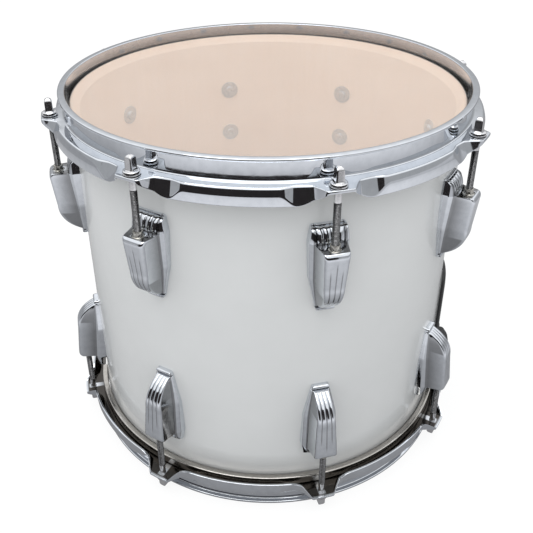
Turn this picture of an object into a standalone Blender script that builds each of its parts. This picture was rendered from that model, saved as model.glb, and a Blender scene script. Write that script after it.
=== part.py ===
"""A 14 in by 13 in rack tom drum, built as the real one is put together.

Frame: the origin is the centre of the bottom hoop's rim, +Z runs up the drum's axis, metres.
Azimuths are counted from -Y towards +X. Whatever both ends share is modelled once, with its
own zero at the rim plane and the drum below it, and is turned upside down for the bottom end.
"""

import math

import bmesh
import bpy
import numpy as np
from mathutils import Matrix, Vector

# Driving sizes of the shell
INCH = 0.0254
SHELL_DIAMETER = 14 * INCH
SHELL_DEPTH = 13 * INCH
SHELL_WALL = 0.0083
EDGE_ROUND = 0.0018
FACETS_PER_EAR = 5
SEAT = 0.0003
CUT_PAST = 0.0050
SMOOTH_ANGLE = 35

# Heads: a film and the flesh hoop that holds its edge
FILM_THICKNESS = 0.00025
COLLAR_CLEARANCE = 0.00045
FLESH_CLEARANCE = 0.0004
FLESH_WIDTH = 0.0056
FLESH_HEIGHT = 0.0089
FILM_TUCK = 0.0060

# Counterhoops, pressed from one strip with a lip, a ledge and a flange
RIM_STANDOFF = 0.0110
HOOP_SHEET = 0.0023
HOOP_CLEARANCE = 0.0021
RIM_LIP = 0.0038
RIM_LIP_HEIGHT = 0.0021
FLESH_GRIP = 0.0106
FLANGE_DROP = 0.0112
EAR_COUNT = 8
EAR_HALF_WIDTH = 0.0095
EAR_OVERHANG = 0.0078
EAR_SWEEP = 0.0105
EAR_SWEEP_STATIONS = (0.0, 0.5, 1.0)
FLANGE_INSET = 0.0007

# Tension rods, their washers and the swivel nuts
ROD_FROM_SHELL = 0.0178
ROD_RADIUS = 0.00275
ROD_SHANK = 0.0653
ROD_CLEARANCE = 0.0003
KEY_HEAD_ACROSS = INCH / 4
KEY_HEAD_HEIGHT = 0.0118
KEY_HEAD_CHAMFER = 0.0009
COLLAR_RADIUS = 0.0056
COLLAR_HEIGHT = 0.0016
ROD_WASHER_RADIUS = 0.0063
ROD_WASHER_THICKNESS = 0.0014
NUT_NOSE_RADIUS = 0.0041
NUT_BODY_RADIUS = 0.0051
NUT_PROUD = 0.0024
NUT_NOSE_HEIGHT = 0.0046
NUT_LENGTH = 0.0136
ROUND_SIDES = 8
HIDDEN_SIDES = 6

# Lugs, measured along the drum from the shelf that the rod enters
SHELF_FROM_RIM = 0.0710
LUG_HEIGHT = 0.0266
LUG_FRONT_ROUND = 0.0034
LUG_FRONT_RUN = 0.0042
LUG_SHOULDER = 0.0330
LUG_SHOULDER_HEIGHT = 0.0237
LUG_BODY_END = 0.0604
LUG_LENGTH = 0.0652
LUG_RAMP_LENGTH = 0.0112
LUG_RAMP_STEPS = (0.0, 0.1, 0.4, 1.0)
LUG_TIP_EDGE = 0.0015
LUG_TIP_THICKNESS = 0.0026
LUG_FALL_STEPS = 3
LUG_RIBS = 4
LUG_RIB_DEPTH = 0.0010
NUT_WELL_MARGIN = 0.0020

# Its plate thins from the shelf to where the body ends, here at its edge and inside its bevel
LUG_PLATE_EDGES = (0.0066, 0.0028)
LUG_PLATE_TOPS = (0.0102, 0.0044)

# Widths of a lug at its ramp's tip, its shelf, its shoulder and its narrow end
LUG_PLATE_WIDTHS = (0.0276, 0.0324, 0.0294, 0.0150)
LUG_ROOT_WIDTHS = (0.0236, 0.0252, 0.0220, 0.0132)
LUG_FRONT_WIDTHS = (0.0222, 0.0188, 0.0169, 0.0126)

# Screws that hold the lugs, with their washers inside the shell
LUG_SCREW_SPACING = 0.0514
SCREW_RADIUS = 0.0022
SCREW_CLEARANCE = 0.0003
SCREW_HEAD_RADIUS = 0.0046
SCREW_HEAD_HEIGHT = 0.0032
SCREW_WASHER_RADIUS = 0.0095
SCREW_WASHER_THICKNESS = 0.0015
SCREW_BITE = 0.0062

# Vent grommet, midway between two lugs
VENT_EAR_STEPS = -2.5
VENT_BORE_RADIUS = 0.0042
VENT_TUBE_RADIUS = 0.0052
VENT_FLANGE_RADIUS = 0.0085
VENT_FLANGE = 0.0012
VENT_SIDES = 12

# Mounting bracket, midway between two lugs, its heights above the bottom rim
BRACKET_EAR_STEPS = 1.5
BRACKET_TOP = 0.161
BRACKET_HEIGHT = 0.120
BRACKET_HALF_WIDTH = 0.025
BRACKET_TOP_ARCH = 0.016
BRACKET_TOP_HALF_WIDTH = 0.0125
BRACKET_FOOT_ARCH = 0.008
BRACKET_FOOT_HALF_WIDTH = 0.0155
BRACKET_SHOULDER_INSET = 0.006
BRACKET_END_RISE = 0.0034
BRACKET_EDGE = 0.0026
BRACKET_RISE = 0.0052
GASKET_THICKNESS = 0.0012
BRACKET_SCREW_X = 0.0165
BRACKET_SCREW_BITE = 0.0026
BRACKET_SCREW_INSET = 0.014
BRACKET_SCREW_SPACING = 0.044

# Receiver for the arm, and the clamp in it
ARM_RADIUS = 0.00475
ARM_CLEARANCE = 0.00025
RECEIVER_WALL = 0.0027
RECEIVER_HEIGHT = 0.030
RECEIVER_SIDE_WALL = 0.0038
RECEIVER_BEVEL = 0.0016
CLAMP_THREAD_WALL = 0.0056
CLAMP_TRAVEL = 0.004
SHOE_RADIUS = 0.0040
SHOE_THICKNESS = 0.0030
CLAMP_SCREW_RADIUS = 0.0029
CLAMP_HUB_RADIUS = 0.0048
CLAMP_HUB_TIP_RADIUS = 0.0038
CLAMP_HUB_LENGTH = 0.0070
CLAMP_HUB_GAP = 0.0012
WING_SPAN = 0.0230
WING_LENGTH = 0.0130
WING_THICKNESS = 0.0030
WING_ROOT = 0.0020
WING_ROOT_LOW = 0.0013
WING_ROOT_HIGH = 0.0056
WING_TIP_RADIUS = 0.0042
WING_TIP_STEPS = 3
BORE_SIDES = 12

# Sizes that follow
SHELL_RADIUS = SHELL_DIAMETER / 2
SHELL_INNER = SHELL_RADIUS - SHELL_WALL
DRUM_HEIGHT = SHELL_DEPTH + 2 * RIM_STANDOFF
EAR_STEP = 360 / EAR_COUNT
SHELL_SIDES = FACETS_PER_EAR * EAR_COUNT
HALF_FACET = math.pi / SHELL_SIDES
BRACKET_AZIMUTH = BRACKET_EAR_STEPS * EAR_STEP
VENT_AZIMUTH = VENT_EAR_STEPS * EAR_STEP
FILM_INNER = SHELL_RADIUS + COLLAR_CLEARANCE
FILM_OUTER = FILM_INNER + FILM_THICKNESS
FLESH_INNER = FILM_OUTER + FLESH_CLEARANCE
FLESH_OUTER = FLESH_INNER + FLESH_WIDTH
WALL_INNER = FLESH_INNER + HOOP_CLEARANCE
WALL_OUTER = WALL_INNER + HOOP_SHEET
ROD_CIRCLE = SHELL_RADIUS + ROD_FROM_SHELL
FLANGE_OUTER = ROD_CIRCLE - FLANGE_INSET
EAR_TIP = ROD_CIRCLE + EAR_OVERHANG
LEDGE_UNDER = RIM_STANDOFF + FLESH_GRIP - SEAT
LEDGE_TOP = LEDGE_UNDER - HOOP_SHEET
FLANGE_END = LEDGE_UNDER + FLANGE_DROP
FLESH_TOP = LEDGE_UNDER + SEAT
FLESH_END = FLESH_TOP + FLESH_HEIGHT
ROD_SEAT = LEDGE_TOP - SEAT
ROD_END = ROD_SEAT + ROD_SHANK
NUT_TOP = SHELF_FROM_RIM - NUT_PROUD
NUT_END = NUT_TOP + NUT_LENGTH
WELL_END = max(ROD_END, NUT_END) + NUT_WELL_MARGIN
LUG_SCREW_DEPTHS = (SHELF_FROM_RIM, SHELF_FROM_RIM + LUG_SCREW_SPACING)
BRACKET_BOTTOM = BRACKET_TOP - BRACKET_HEIGHT
BORE_RADIUS = ARM_RADIUS + ARM_CLEARANCE
BORE_FROM_SHELL = BRACKET_RISE + SEAT + ARM_RADIUS
RECEIVER_FRONT = BORE_FROM_SHELL + BORE_RADIUS + RECEIVER_WALL
SHOE_FACE = BORE_RADIUS + SEAT
SHOE_BACK = SHOE_FACE + SHOE_THICKNESS
POCKET_END = SHOE_BACK + CLAMP_TRAVEL + SEAT
RECEIVER_SIDE = POCKET_END + CLAMP_THREAD_WALL
CLAMP_HEIGHT = BRACKET_BOTTOM + RECEIVER_HEIGHT / 2


def finish(name, colour, roughness, metallic):
    """One Principled material."""
    material = bpy.data.materials.new(name)
    material.use_nodes = True
    shader = material.node_tree.nodes["Principled BSDF"]
    shader.inputs["Base Color"].default_value = (*colour, 1.0)
    shader.inputs["Roughness"].default_value = roughness
    shader.inputs["Metallic"].default_value = metallic
    return material


def clear_scene():
    for obj in list(bpy.data.objects):
        bpy.data.objects.remove(obj, do_unlink=True)


def polygon_radius(radius, sides):
    """Corner radius of a polygon that clears a round of this radius."""
    return radius / math.cos(math.pi / sides)


def turn_for(azimuth):
    return Matrix.Rotation(math.radians(azimuth), 4, "Z")


def add_object(name, mesh, material, location=(0, 0, 0), rotation=(0, 0, 0)):
    obj = bpy.data.objects.new(name, mesh)
    obj.location = location
    obj.rotation_euler = rotation
    bpy.context.collection.objects.link(obj)
    if not mesh.materials:
        mesh.materials.append(material)
    return obj


def mesh_from(bm, name, smooth_angle=SMOOTH_ANGLE):
    """Finish a bmesh as a mesh: outward faces, smooth but for its sharp edges."""
    bmesh.ops.recalc_face_normals(bm, faces=bm.faces)
    mesh = bpy.data.meshes.new(name)
    bm.to_mesh(mesh)
    bm.free()
    mesh.shade_smooth()
    mesh.set_sharp_from_angle(angle=math.radians(smooth_angle))
    return mesh


def add_turned(bm, profile, sides, place=Matrix()):
    """Spin a profile of (radius, height) points round Z, then place it.

    The spin starts half a facet past the azimuth 0, so that a flat facet faces it. A profile
    that starts and ends on the axis closes itself, any other is closed into a ring.
    """
    points = []
    start = Matrix.Rotation(math.pi / sides - math.pi / 2, 4, "Z")
    for radius, height in profile:
        points.append(bm.verts.new(start @ Vector((radius, 0, height))))
    edges = [bm.edges.new(pair) for pair in zip(points, points[1:])]
    if profile[0][0] > 0:
        edges.append(bm.edges.new((points[-1], points[0])))
    before = set(bm.verts) - set(points)
    bmesh.ops.spin(
        bm,
        geom=points + edges,
        cent=(0, 0, 0),
        axis=(0, 0, 1),
        angle=2 * math.pi,
        steps=sides,
        use_merge=True,
    )
    made = [vert for vert in bm.verts if vert not in before]
    bmesh.ops.remove_doubles(bm, verts=made, dist=1e-6)
    made = [vert for vert in bm.verts if vert not in before]
    bmesh.ops.transform(bm, matrix=place, verts=made)
    return made


def turned_mesh(name, profile, sides):
    bm = bmesh.new()
    add_turned(bm, profile, sides)
    return mesh_from(bm, name)


def add_prism(bm, radius, low, high, sides, place=Matrix()):
    """A polygonal rod from low to high along its own Z."""
    profile = [(0, low), (radius, low), (radius, high), (0, high)]
    return add_turned(bm, profile, sides, place)


def outward(azimuth, height):
    """Frame on the drum's axis whose Z points out through the wall at this azimuth and height."""
    lay_out = Matrix.Rotation(math.pi / 2, 4, "X")
    return turn_for(azimuth) @ Matrix.Translation((0, 0, height)) @ lay_out


def cut(obj, cutter_mesh, operation="DIFFERENCE"):
    """Boolean an object by a mesh and keep the result as its mesh."""
    cutter = bpy.data.objects.new(obj.name + "_cutter", cutter_mesh)
    bpy.context.collection.objects.link(cutter)
    cutter.hide_render = True
    cutter.display_type = "WIRE"
    step = obj.modifiers.new("cut", "BOOLEAN")
    step.operation = operation
    step.solver = "EXACT"
    step.object = cutter
    cutter.matrix_world = obj.matrix_world.copy()
    bpy.context.view_layer.update()
    graph = bpy.context.evaluated_depsgraph_get()
    result = bpy.data.meshes.new_from_object(obj.evaluated_get(graph))
    obj.modifiers.remove(step)
    old = obj.data
    result.name = old.name
    obj.data = result
    bpy.data.meshes.remove(old)
    bpy.data.objects.remove(cutter, do_unlink=True)
    obj.data.shade_smooth()
    obj.data.set_sharp_from_angle(angle=math.radians(SMOOTH_ANGLE))
    return obj


def loft(bm, rows, closed=True, caps=True):
    """Join successive rows of points with quads; the first and last rows may be capped."""
    rings = [[bm.verts.new(point) for point in row] for row in rows]
    count = len(rings[0])
    span = count if closed else count - 1
    for first, second in zip(rings, rings[1:]):
        for i in range(span):
            j = (i + 1) % count
            bm.faces.new((first[i], first[j], second[j], second[i]))
    if caps:
        bm.faces.new(rings[0])
        bm.faces.new(rings[-1])
    return rings


# Both ends


def end_places():
    """Name, turn about X and height of each end's rim plane."""
    return (("top", 0.0, DRUM_HEIGHT), ("bottom", math.pi, 0.0))


def ear_azimuths():
    return [index * EAR_STEP for index in range(EAR_COUNT)]


# Shell


def shell_profile():
    """Closed outline of the wall, with a bearing edge cut at 45 degrees at each end."""
    peak = SHELL_RADIUS - EDGE_ROUND
    low = RIM_STANDOFF
    high = DRUM_HEIGHT - RIM_STANDOFF
    inner_cut = peak - SHELL_INNER
    return [
        (SHELL_RADIUS, high - EDGE_ROUND),
        (peak, high),
        (SHELL_INNER, high - inner_cut),
        (SHELL_INNER, low + inner_cut),
        (peak, low),
        (SHELL_RADIUS, low + EDGE_ROUND),
    ]


def lug_screw_spots():
    """Azimuth and height of every lug screw."""
    spots = []
    for azimuth in ear_azimuths():
        for depth in LUG_SCREW_DEPTHS:
            spots.append((azimuth, DRUM_HEIGHT - depth))
            spots.append((azimuth, depth))
    return spots


def bracket_screw_spots():
    """Azimuth and height of the four bracket screws, which lie on radii of the shell."""
    swing = math.degrees(BRACKET_SCREW_X / SHELL_RADIUS)
    upper = BRACKET_TOP - BRACKET_SCREW_INSET
    spots = []
    for side in (-1, 1):
        for height in (upper, upper - BRACKET_SCREW_SPACING):
            spots.append((BRACKET_AZIMUTH + side * swing, height))
    return spots


def make_shell(material):
    shell = add_object(
        "shell", turned_mesh("shell", shell_profile(), SHELL_SIDES), material
    )
    holes = bmesh.new()
    hole = polygon_radius(SCREW_RADIUS + SCREW_CLEARANCE, HIDDEN_SIDES)
    reach = (SHELL_INNER - CUT_PAST, SHELL_RADIUS + CUT_PAST)
    for azimuth, height in lug_screw_spots() + bracket_screw_spots():
        add_prism(holes, hole, *reach, HIDDEN_SIDES, outward(azimuth, height))
    vent = outward(VENT_AZIMUTH, DRUM_HEIGHT / 2)
    vent_hole = polygon_radius(VENT_TUBE_RADIUS + SEAT, VENT_SIDES)
    add_prism(holes, vent_hole, *reach, VENT_SIDES, vent)
    return cut(shell, mesh_from(holes, "shell_holes"))


def make_vent_grommet(material):
    """A rolled eyelet: tube through the wall with a flange on the outside."""
    seat = SHELL_RADIUS + SEAT
    inside = SHELL_INNER * math.cos(HALF_FACET)
    profile = [
        (VENT_BORE_RADIUS, inside),
        (VENT_TUBE_RADIUS, inside),
        (VENT_TUBE_RADIUS, seat),
        (VENT_FLANGE_RADIUS, seat),
        (VENT_FLANGE_RADIUS - VENT_FLANGE / 2, seat + VENT_FLANGE),
        (VENT_BORE_RADIUS, seat + VENT_FLANGE),
    ]
    bm = bmesh.new()
    add_turned(bm, profile, VENT_SIDES, outward(VENT_AZIMUTH, DRUM_HEIGHT / 2))
    return add_object("vent_grommet", mesh_from(bm, "vent_grommet"), material)


# Heads


def film_profile():
    """Film over the bearing edge and down its collar, from the axis out and back below."""
    top = -(RIM_STANDOFF - SEAT - FILM_THICKNESS)
    under = -(RIM_STANDOFF - SEAT)
    bend = SHELL_RADIUS - EDGE_ROUND + SEAT
    fall = EDGE_ROUND
    tuck = -(FLESH_TOP + FILM_TUCK)
    return [
        (0, under),
        (bend, under),
        (FILM_INNER, under - fall),
        (FILM_INNER, tuck),
        (FILM_OUTER, tuck),
        (FILM_OUTER, top - fall),
        (bend + FILM_THICKNESS, top),
        (0, top),
    ]


def flesh_hoop_profile():
    return [
        (FLESH_INNER, -FLESH_TOP),
        (FLESH_INNER, -FLESH_END),
        (FLESH_OUTER, -FLESH_END),
        (FLESH_OUTER, -FLESH_TOP),
    ]


def make_heads(film_material, flesh_material):
    film = turned_mesh("head_film", film_profile(), SHELL_SIDES)
    flesh = turned_mesh("flesh_hoop", flesh_hoop_profile(), SHELL_SIDES)
    for end, turn, height in end_places():
        add_object(end + "_head_film", film, film_material, (0, 0, height), (turn, 0, 0))
        add_object(end + "_flesh_hoop", flesh, flesh_material, (0, 0, height), (turn, 0, 0))


# Counterhoops


def hoop_section(sweep):
    """Closed outline of the hoop's sheet; sweep is 0 at an ear and 1 where the flange is full."""

    def between(ear, full):
        return ear + (full - ear) * sweep

    tip = between(EAR_TIP, FLANGE_OUTER)
    skin = -between(LEDGE_UNDER, FLANGE_END)
    lip_outer = WALL_OUTER + RIM_LIP
    return [
        (WALL_INNER, 0.0),
        (lip_outer, 0.0),
        (lip_outer, -RIM_LIP_HEIGHT),
        (WALL_OUTER, -RIM_LIP_HEIGHT - HOOP_SHEET / 2),
        (WALL_OUTER, -LEDGE_TOP),
        (tip, -LEDGE_TOP),
        (tip, skin),
        (tip - HOOP_SHEET, skin - (1 - sweep) * SEAT),
        (tip - HOOP_SHEET, -LEDGE_UNDER),
        (WALL_INNER, -LEDGE_UNDER),
    ]


def hoop_stations():
    """Angles round the hoop and how far the flange is swept down at each, in an S curve."""
    ear = EAR_HALF_WIDTH / EAR_TIP
    sweep = EAR_SWEEP / EAR_TIP
    middle = math.pi / EAR_COUNT
    steps = []
    for share in EAR_SWEEP_STATIONS:
        steps.append((ear + sweep * share, share * share * (3 - 2 * share)))
    steps.append(((ear + sweep + middle) / 2, 1.0))
    stations = []
    for azimuth in ear_azimuths():
        centre = math.radians(azimuth)
        for angle, sweep in reversed(steps):
            stations.append((centre - angle, sweep))
        for angle, sweep in steps:
            stations.append((centre + angle, sweep))
        stations.append((centre + middle, 1.0))
    return stations


def hoop_mesh():
    rows = []
    for angle, sweep in hoop_stations():
        section = hoop_section(sweep)
        rows.append(
            [(r * math.sin(angle), -r * math.cos(angle), z) for r, z in section]
        )
    rows.append(rows[0])
    bm = bmesh.new()
    loft(bm, rows, caps=False)
    bmesh.ops.remove_doubles(bm, verts=bm.verts, dist=1e-6)
    return mesh_from(bm, "counterhoop")


def make_hoops(material):
    hole = polygon_radius(ROD_RADIUS + ROD_CLEARANCE, HIDDEN_SIDES)
    low = -LEDGE_UNDER - CUT_PAST
    high = -LEDGE_TOP + CUT_PAST
    for end, turn, height in end_places():
        hoop = add_object(end + "_hoop", hoop_mesh(), material, (0, 0, height), (turn, 0, 0))
        bpy.context.view_layer.update()
        holes = bmesh.new()
        for azimuth in ear_azimuths():
            place = turn_for(azimuth) @ Matrix.Translation((0, -ROD_CIRCLE, 0))
            add_prism(holes, hole, low, high, HIDDEN_SIDES, place)
        cut(hoop, mesh_from(holes, "ear_holes"))


# Tension rods


def square_row(half, height):
    corners = ((-1, -1), (1, -1), (1, 1), (-1, 1))
    return [(x * half, y * half, height) for x, y in corners]


def rod_mesh():
    """Square key head on a round collar and its washer, and the shank below.

    Its zero is the washer's seat. The washer turns with the rod, so the two are one piece.
    """
    washer = ROD_WASHER_THICKNESS
    collar = washer + COLLAR_HEIGHT
    shank = [
        (0, -ROD_SHANK),
        (ROD_RADIUS, -ROD_SHANK),
        (ROD_RADIUS, 0),
        (ROD_WASHER_RADIUS, 0),
        (ROD_WASHER_RADIUS, washer),
        (COLLAR_RADIUS, washer),
        (COLLAR_RADIUS, collar),
        (0, collar),
    ]
    bm = bmesh.new()
    add_turned(bm, shank, ROUND_SIDES)
    centre = [vert for vert in bm.verts if vert.co.xy.length < 1e-6 and vert.co.z > 0]
    bmesh.ops.delete(bm, geom=centre, context="VERTS")
    rim = [vert for vert in bm.verts if abs(vert.co.z - collar) < 1e-6]
    half = KEY_HEAD_ACROSS / 2
    peak = collar + KEY_HEAD_HEIGHT
    rows = [
        square_row(half, collar),
        square_row(half, peak - KEY_HEAD_CHAMFER),
        square_row(half - KEY_HEAD_CHAMFER, peak),
    ]
    head = loft(bm, rows, caps=False)
    bm.faces.new(head[-1])
    join_rings(bm, rim, head[0])
    return mesh_from(bm, "tension_rod")


def join_rings(bm, outer, inner):
    """Fill the flat ground between two closed rings of different counts, by angle."""

    def angle(vert):
        return math.atan2(vert.co.y, vert.co.x) % (2 * math.pi)

    outer = sorted(outer, key=angle)
    inner = sorted(inner, key=angle)
    i = 0
    j = 0
    while i < len(outer) or j < len(inner):
        here_out = outer[i % len(outer)]
        here_in = inner[j % len(inner)]
        next_out = outer[(i + 1) % len(outer)]
        next_in = inner[(j + 1) % len(inner)]
        turn_out = angle(next_out) + 2 * math.pi * ((i + 1) // len(outer))
        turn_in = angle(next_in) + 2 * math.pi * ((j + 1) // len(inner))
        if j >= len(inner) or (i < len(outer) and turn_out <= turn_in):
            bm.faces.new((here_out, next_out, here_in))
            i += 1
        else:
            bm.faces.new((here_in, here_out, next_in))
            j += 1


def make_rods(material):
    rod = rod_mesh()
    for end, turn, height in end_places():
        seat = height - ROD_SEAT * math.cos(turn)
        for index, azimuth in enumerate(ear_azimuths()):
            place = turn_for(azimuth) @ Vector((0, -ROD_CIRCLE, 0))
            add_object(
                f"{end}_tension_rod_{index + 1}",
                rod,
                material,
                (place.x, place.y, seat),
                (turn, 0, math.radians(azimuth)),
            )


def make_swivel_nuts(material):
    """The nut in each lug, with a nose that stands out of the lug's shelf."""
    bore = polygon_radius(ROD_RADIUS + ROD_CLEARANCE, HIDDEN_SIDES)
    profile = [
        (bore, -NUT_TOP),
        (bore, -NUT_END),
        (NUT_BODY_RADIUS, -NUT_END),
        (NUT_BODY_RADIUS, -NUT_TOP - NUT_NOSE_HEIGHT),
        (NUT_NOSE_RADIUS, -NUT_TOP - NUT_NOSE_HEIGHT),
        (NUT_NOSE_RADIUS, -NUT_TOP),
    ]
    nut = turned_mesh("swivel_nut", profile, HIDDEN_SIDES)
    for end, turn, height in end_places():
        for index, azimuth in enumerate(ear_azimuths()):
            place = turn_for(azimuth) @ Vector((0, -ROD_CIRCLE, 0))
            add_object(
                f"{end}_swivel_nut_{index + 1}",
                nut,
                material,
                (place.x, place.y, height),
                (turn, 0, math.radians(azimuth)),
            )


# Screws put in from inside the shell


def facet_tilt(azimuth):
    """Angle between the wall's flat facet at this azimuth and a plane square to the radius."""
    half = math.degrees(HALF_FACET)
    return math.radians(abs((azimuth + half) % (2 * half) - half))


def add_screw(bm, tip, azimuth, place):
    """Screw with its washer flat on the inside of the wall, ending at the radius tip."""
    tilt = facet_tilt(azimuth)
    wall = SHELL_INNER * math.cos(HALF_FACET) / math.cos(tilt)
    washer_out = wall - SCREW_WASHER_RADIUS * math.tan(tilt) - SEAT
    washer_in = washer_out - SCREW_WASHER_THICKNESS
    head_in = washer_in - SCREW_HEAD_HEIGHT
    profile = [
        (0, head_in),
        (SCREW_HEAD_RADIUS, head_in),
        (SCREW_HEAD_RADIUS, washer_in),
        (SCREW_WASHER_RADIUS, washer_in),
        (SCREW_WASHER_RADIUS, washer_out),
        (SCREW_RADIUS, washer_out),
        (SCREW_RADIUS, tip),
        (0, tip),
    ]
    add_turned(bm, profile, HIDDEN_SIDES, place)


# Lugs


def lug_half_width(drop, widths):
    """Half width at this distance below the shelf, straight between the widths' four places."""
    places = (-LUG_RAMP_LENGTH, 0.0, LUG_SHOULDER, LUG_LENGTH)
    return float(np.interp(drop, places, widths)) / 2


def lug_plate(drop, heights):
    """Height of the plate here, straight from the shelf to where the body ends."""
    return float(np.interp(drop, (0.0, LUG_BODY_END), heights))


def lug_crowns():
    """Distance below the shelf, height of the front and depth of the grooves at each station.

    The ramp rises in a quarter of an ellipse to the foot of the shelf. From the shelf's
    rounded edge the front falls slowly to the shoulder, then follows a quarter of an ellipse
    down to the plate, which runs on past it.
    """
    crowns = []
    run = LUG_RAMP_LENGTH - SEAT
    rise = LUG_PLATE_TOPS[0] - LUG_TIP_THICKNESS
    for share in LUG_RAMP_STEPS:
        swell = math.sqrt(1 - (1 - share) ** 2)
        groove = LUG_RIB_DEPTH * swell
        crowns.append((share * run - LUG_RAMP_LENGTH, LUG_TIP_THICKNESS + rise * swell, groove))
    for degrees in (0, 45, 90):
        turn = math.radians(degrees)
        drop = LUG_FRONT_RUN * (1 - math.cos(turn))
        crowns.append((drop, LUG_HEIGHT - LUG_FRONT_ROUND * (1 - math.sin(turn)), None))
    crowns.append((LUG_SHOULDER, LUG_SHOULDER_HEIGHT, 0.0))
    run = LUG_BODY_END - LUG_SHOULDER
    foot = LUG_PLATE_TOPS[1]
    fall = LUG_SHOULDER_HEIGHT - foot
    for step in range(1, LUG_FALL_STEPS):
        turn = math.pi / 2 * step / LUG_FALL_STEPS
        drop = LUG_SHOULDER + run * math.sin(turn)
        crowns.append((drop, foot + fall * math.cos(turn), LUG_RIB_DEPTH))
    crowns.append((LUG_BODY_END, foot, 0.0))
    crowns.append((LUG_LENGTH, LUG_TIP_THICKNESS, 0.0))
    return crowns


def lug_front(half, height, groove):
    """Points across the front from right to left, with grooves between the ribs."""
    points = []
    for step in range(2 * LUG_RIBS + 1):
        x = half * (1 - step / LUG_RIBS)
        inner_groove = step % 2 == 0 and 0 < step < 2 * LUG_RIBS
        points.append((x, height - (groove if inner_groove else 0)))
    return points


def lug_back(x):
    """Height of the back at this width: it follows the round of the shell."""
    return math.sqrt(SHELL_RADIUS**2 - x**2) - SHELL_RADIUS + SEAT


def lug_row(bm, drop, crown, groove):
    """One station of the lug: its points round the section, in four runs.

    Where the groove is None the front is plain, with only its two edges.
    """
    plate = lug_half_width(drop, LUG_PLATE_WIDTHS)
    root = lug_half_width(drop, LUG_ROOT_WIDTHS)
    front = lug_half_width(drop, LUG_FRONT_WIDTHS)
    edge = min(lug_plate(drop, LUG_PLATE_EDGES), crown - LUG_TIP_THICKNESS + LUG_TIP_EDGE)
    top = min(lug_plate(drop, LUG_PLATE_TOPS), crown)

    def point(x, up):
        return bm.verts.new((x, -(SHELL_RADIUS + up), -(SHELF_FROM_RIM + drop)))

    face = [(front, crown), (-front, crown)]
    if groove is not None:
        face = lug_front(front, crown, groove)
    return {
        "back": [point(x, lug_back(x)) for x in (-plate, 0.0, plate)],
        "right": [point(plate, edge), point(root, top)],
        "front": [point(x, up) for x, up in face],
        "left": [point(-root, top), point(-plate, edge)],
    }


def lug_mesh():
    """One lug at azimuth 0, its zero on the drum's axis in the rim plane."""
    bm = bmesh.new()
    rows = [lug_row(bm, *crown) for crown in lug_crowns()]
    for first, second in zip(rows, rows[1:]):
        lug_band(bm, first, second)
    for row in (rows[0], rows[-1]):
        bm.faces.new(row["back"] + row["right"] + row["front"] + row["left"])
    return mesh_from(bm, "lug")


def lug_band(bm, first, second):
    """Skin between two stations: plain quads, and a fan where the ribs begin or end."""

    def quads(one, two):
        for a, b, c, d in zip(one, one[1:], two[1:], two):
            bm.faces.new((a, b, c, d))

    def right(row):
        return [row["back"][-1], *row["right"], row["front"][0]]

    def left(row):
        return [row["front"][-1], *row["left"], row["back"][0]]

    quads(first["back"], second["back"])
    quads(right(first), right(second))
    quads(left(first), left(second))
    one = first["front"]
    two = second["front"]
    if len(one) == len(two):
        quads(one, two)
        return
    coarse, fine = (one, two) if len(one) < len(two) else (two, one)
    middle = len(fine) // 2
    for a, b in zip(fine[: middle + 1], fine[1 : middle + 1]):
        bm.faces.new((a, b, coarse[0]))
    for a, b in zip(fine[middle:], fine[middle + 1 :]):
        bm.faces.new((a, b, coarse[1]))
    bm.faces.new((coarse[0], coarse[1], fine[middle]))


def make_lugs(material):
    first = add_object("lug_pattern", lug_mesh(), material)
    cutters = bmesh.new()
    well = polygon_radius(NUT_BODY_RADIUS + SEAT, HIDDEN_SIDES)
    place = Matrix.Translation((0, -ROD_CIRCLE, 0))
    add_prism(cutters, well, -WELL_END, CUT_PAST - SHELF_FROM_RIM, HIDDEN_SIDES, place)
    cut(first, mesh_from(cutters, "nut_well"))
    screws = bmesh.new()
    for depth in LUG_SCREW_DEPTHS:
        add_screw(screws, SHELL_RADIUS + SCREW_BITE, 0, outward(0, -depth))
    cut(first, mesh_from(screws, "lug_screws"), "UNION")
    mesh = first.data
    bpy.data.objects.remove(first, do_unlink=True)
    for end, turn, height in end_places():
        for index, azimuth in enumerate(ear_azimuths()):
            add_object(
                f"{end}_lug_{index + 1}",
                mesh,
                material,
                (0, 0, height),
                (0, turn, math.radians(azimuth)),
            )


# Mounting bracket


def bracket_back(x, stand):
    """Height above the shell's crown of a sheet that stands this far off the round wall."""
    radius = SHELL_RADIUS + stand
    return math.sqrt(radius**2 - x**2) - SHELL_RADIUS


def bracket_rows():
    """Stations up the bracket: height, half width, and 1 at its full rise or 0 at its ends.

    The foot and the top are arched, each along a quarter of an ellipse.
    """
    half = BRACKET_HALF_WIDTH
    rows = []
    for degrees in (90, 45, 0):
        turn = math.radians(degrees)
        width = BRACKET_FOOT_HALF_WIDTH + (half - BRACKET_FOOT_HALF_WIDTH) * math.cos(turn)
        height = BRACKET_BOTTOM + BRACKET_FOOT_ARCH * (1 - math.sin(turn))
        rows.append((height, width, math.cos(turn)))
    for degrees in (0, 30, 60, 90):
        turn = math.radians(degrees)
        width = BRACKET_TOP_HALF_WIDTH + (half - BRACKET_TOP_HALF_WIDTH) * math.cos(turn)
        height = BRACKET_TOP - BRACKET_TOP_ARCH * (1 - math.sin(turn))
        rows.append((height, width, math.cos(turn)))
    return rows


def bracket_plate_mesh(name, stand, front, end_front, edge):
    """Curved plate on the wall.

    It stands this far off the wall, and rises from its edge to its front, less at its ends.
    """
    bm = bmesh.new()
    rows = []
    for z, half, share in bracket_rows():
        shoulder = half - BRACKET_SHOULDER_INSET
        crown = end_front + (front - end_front) * share
        across = (-half, -shoulder, 0.0, shoulder, half)
        outer = (edge, crown, crown, crown, edge)
        row = [(x, -(SHELL_RADIUS + bracket_back(x, stand)), z) for x in across]
        for x, up in zip(reversed(across), outer):
            row.append((x, -(SHELL_RADIUS + bracket_back(x, up)), z))
        rows.append(row)
    loft(bm, rows)
    return mesh_from(bm, name)


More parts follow.
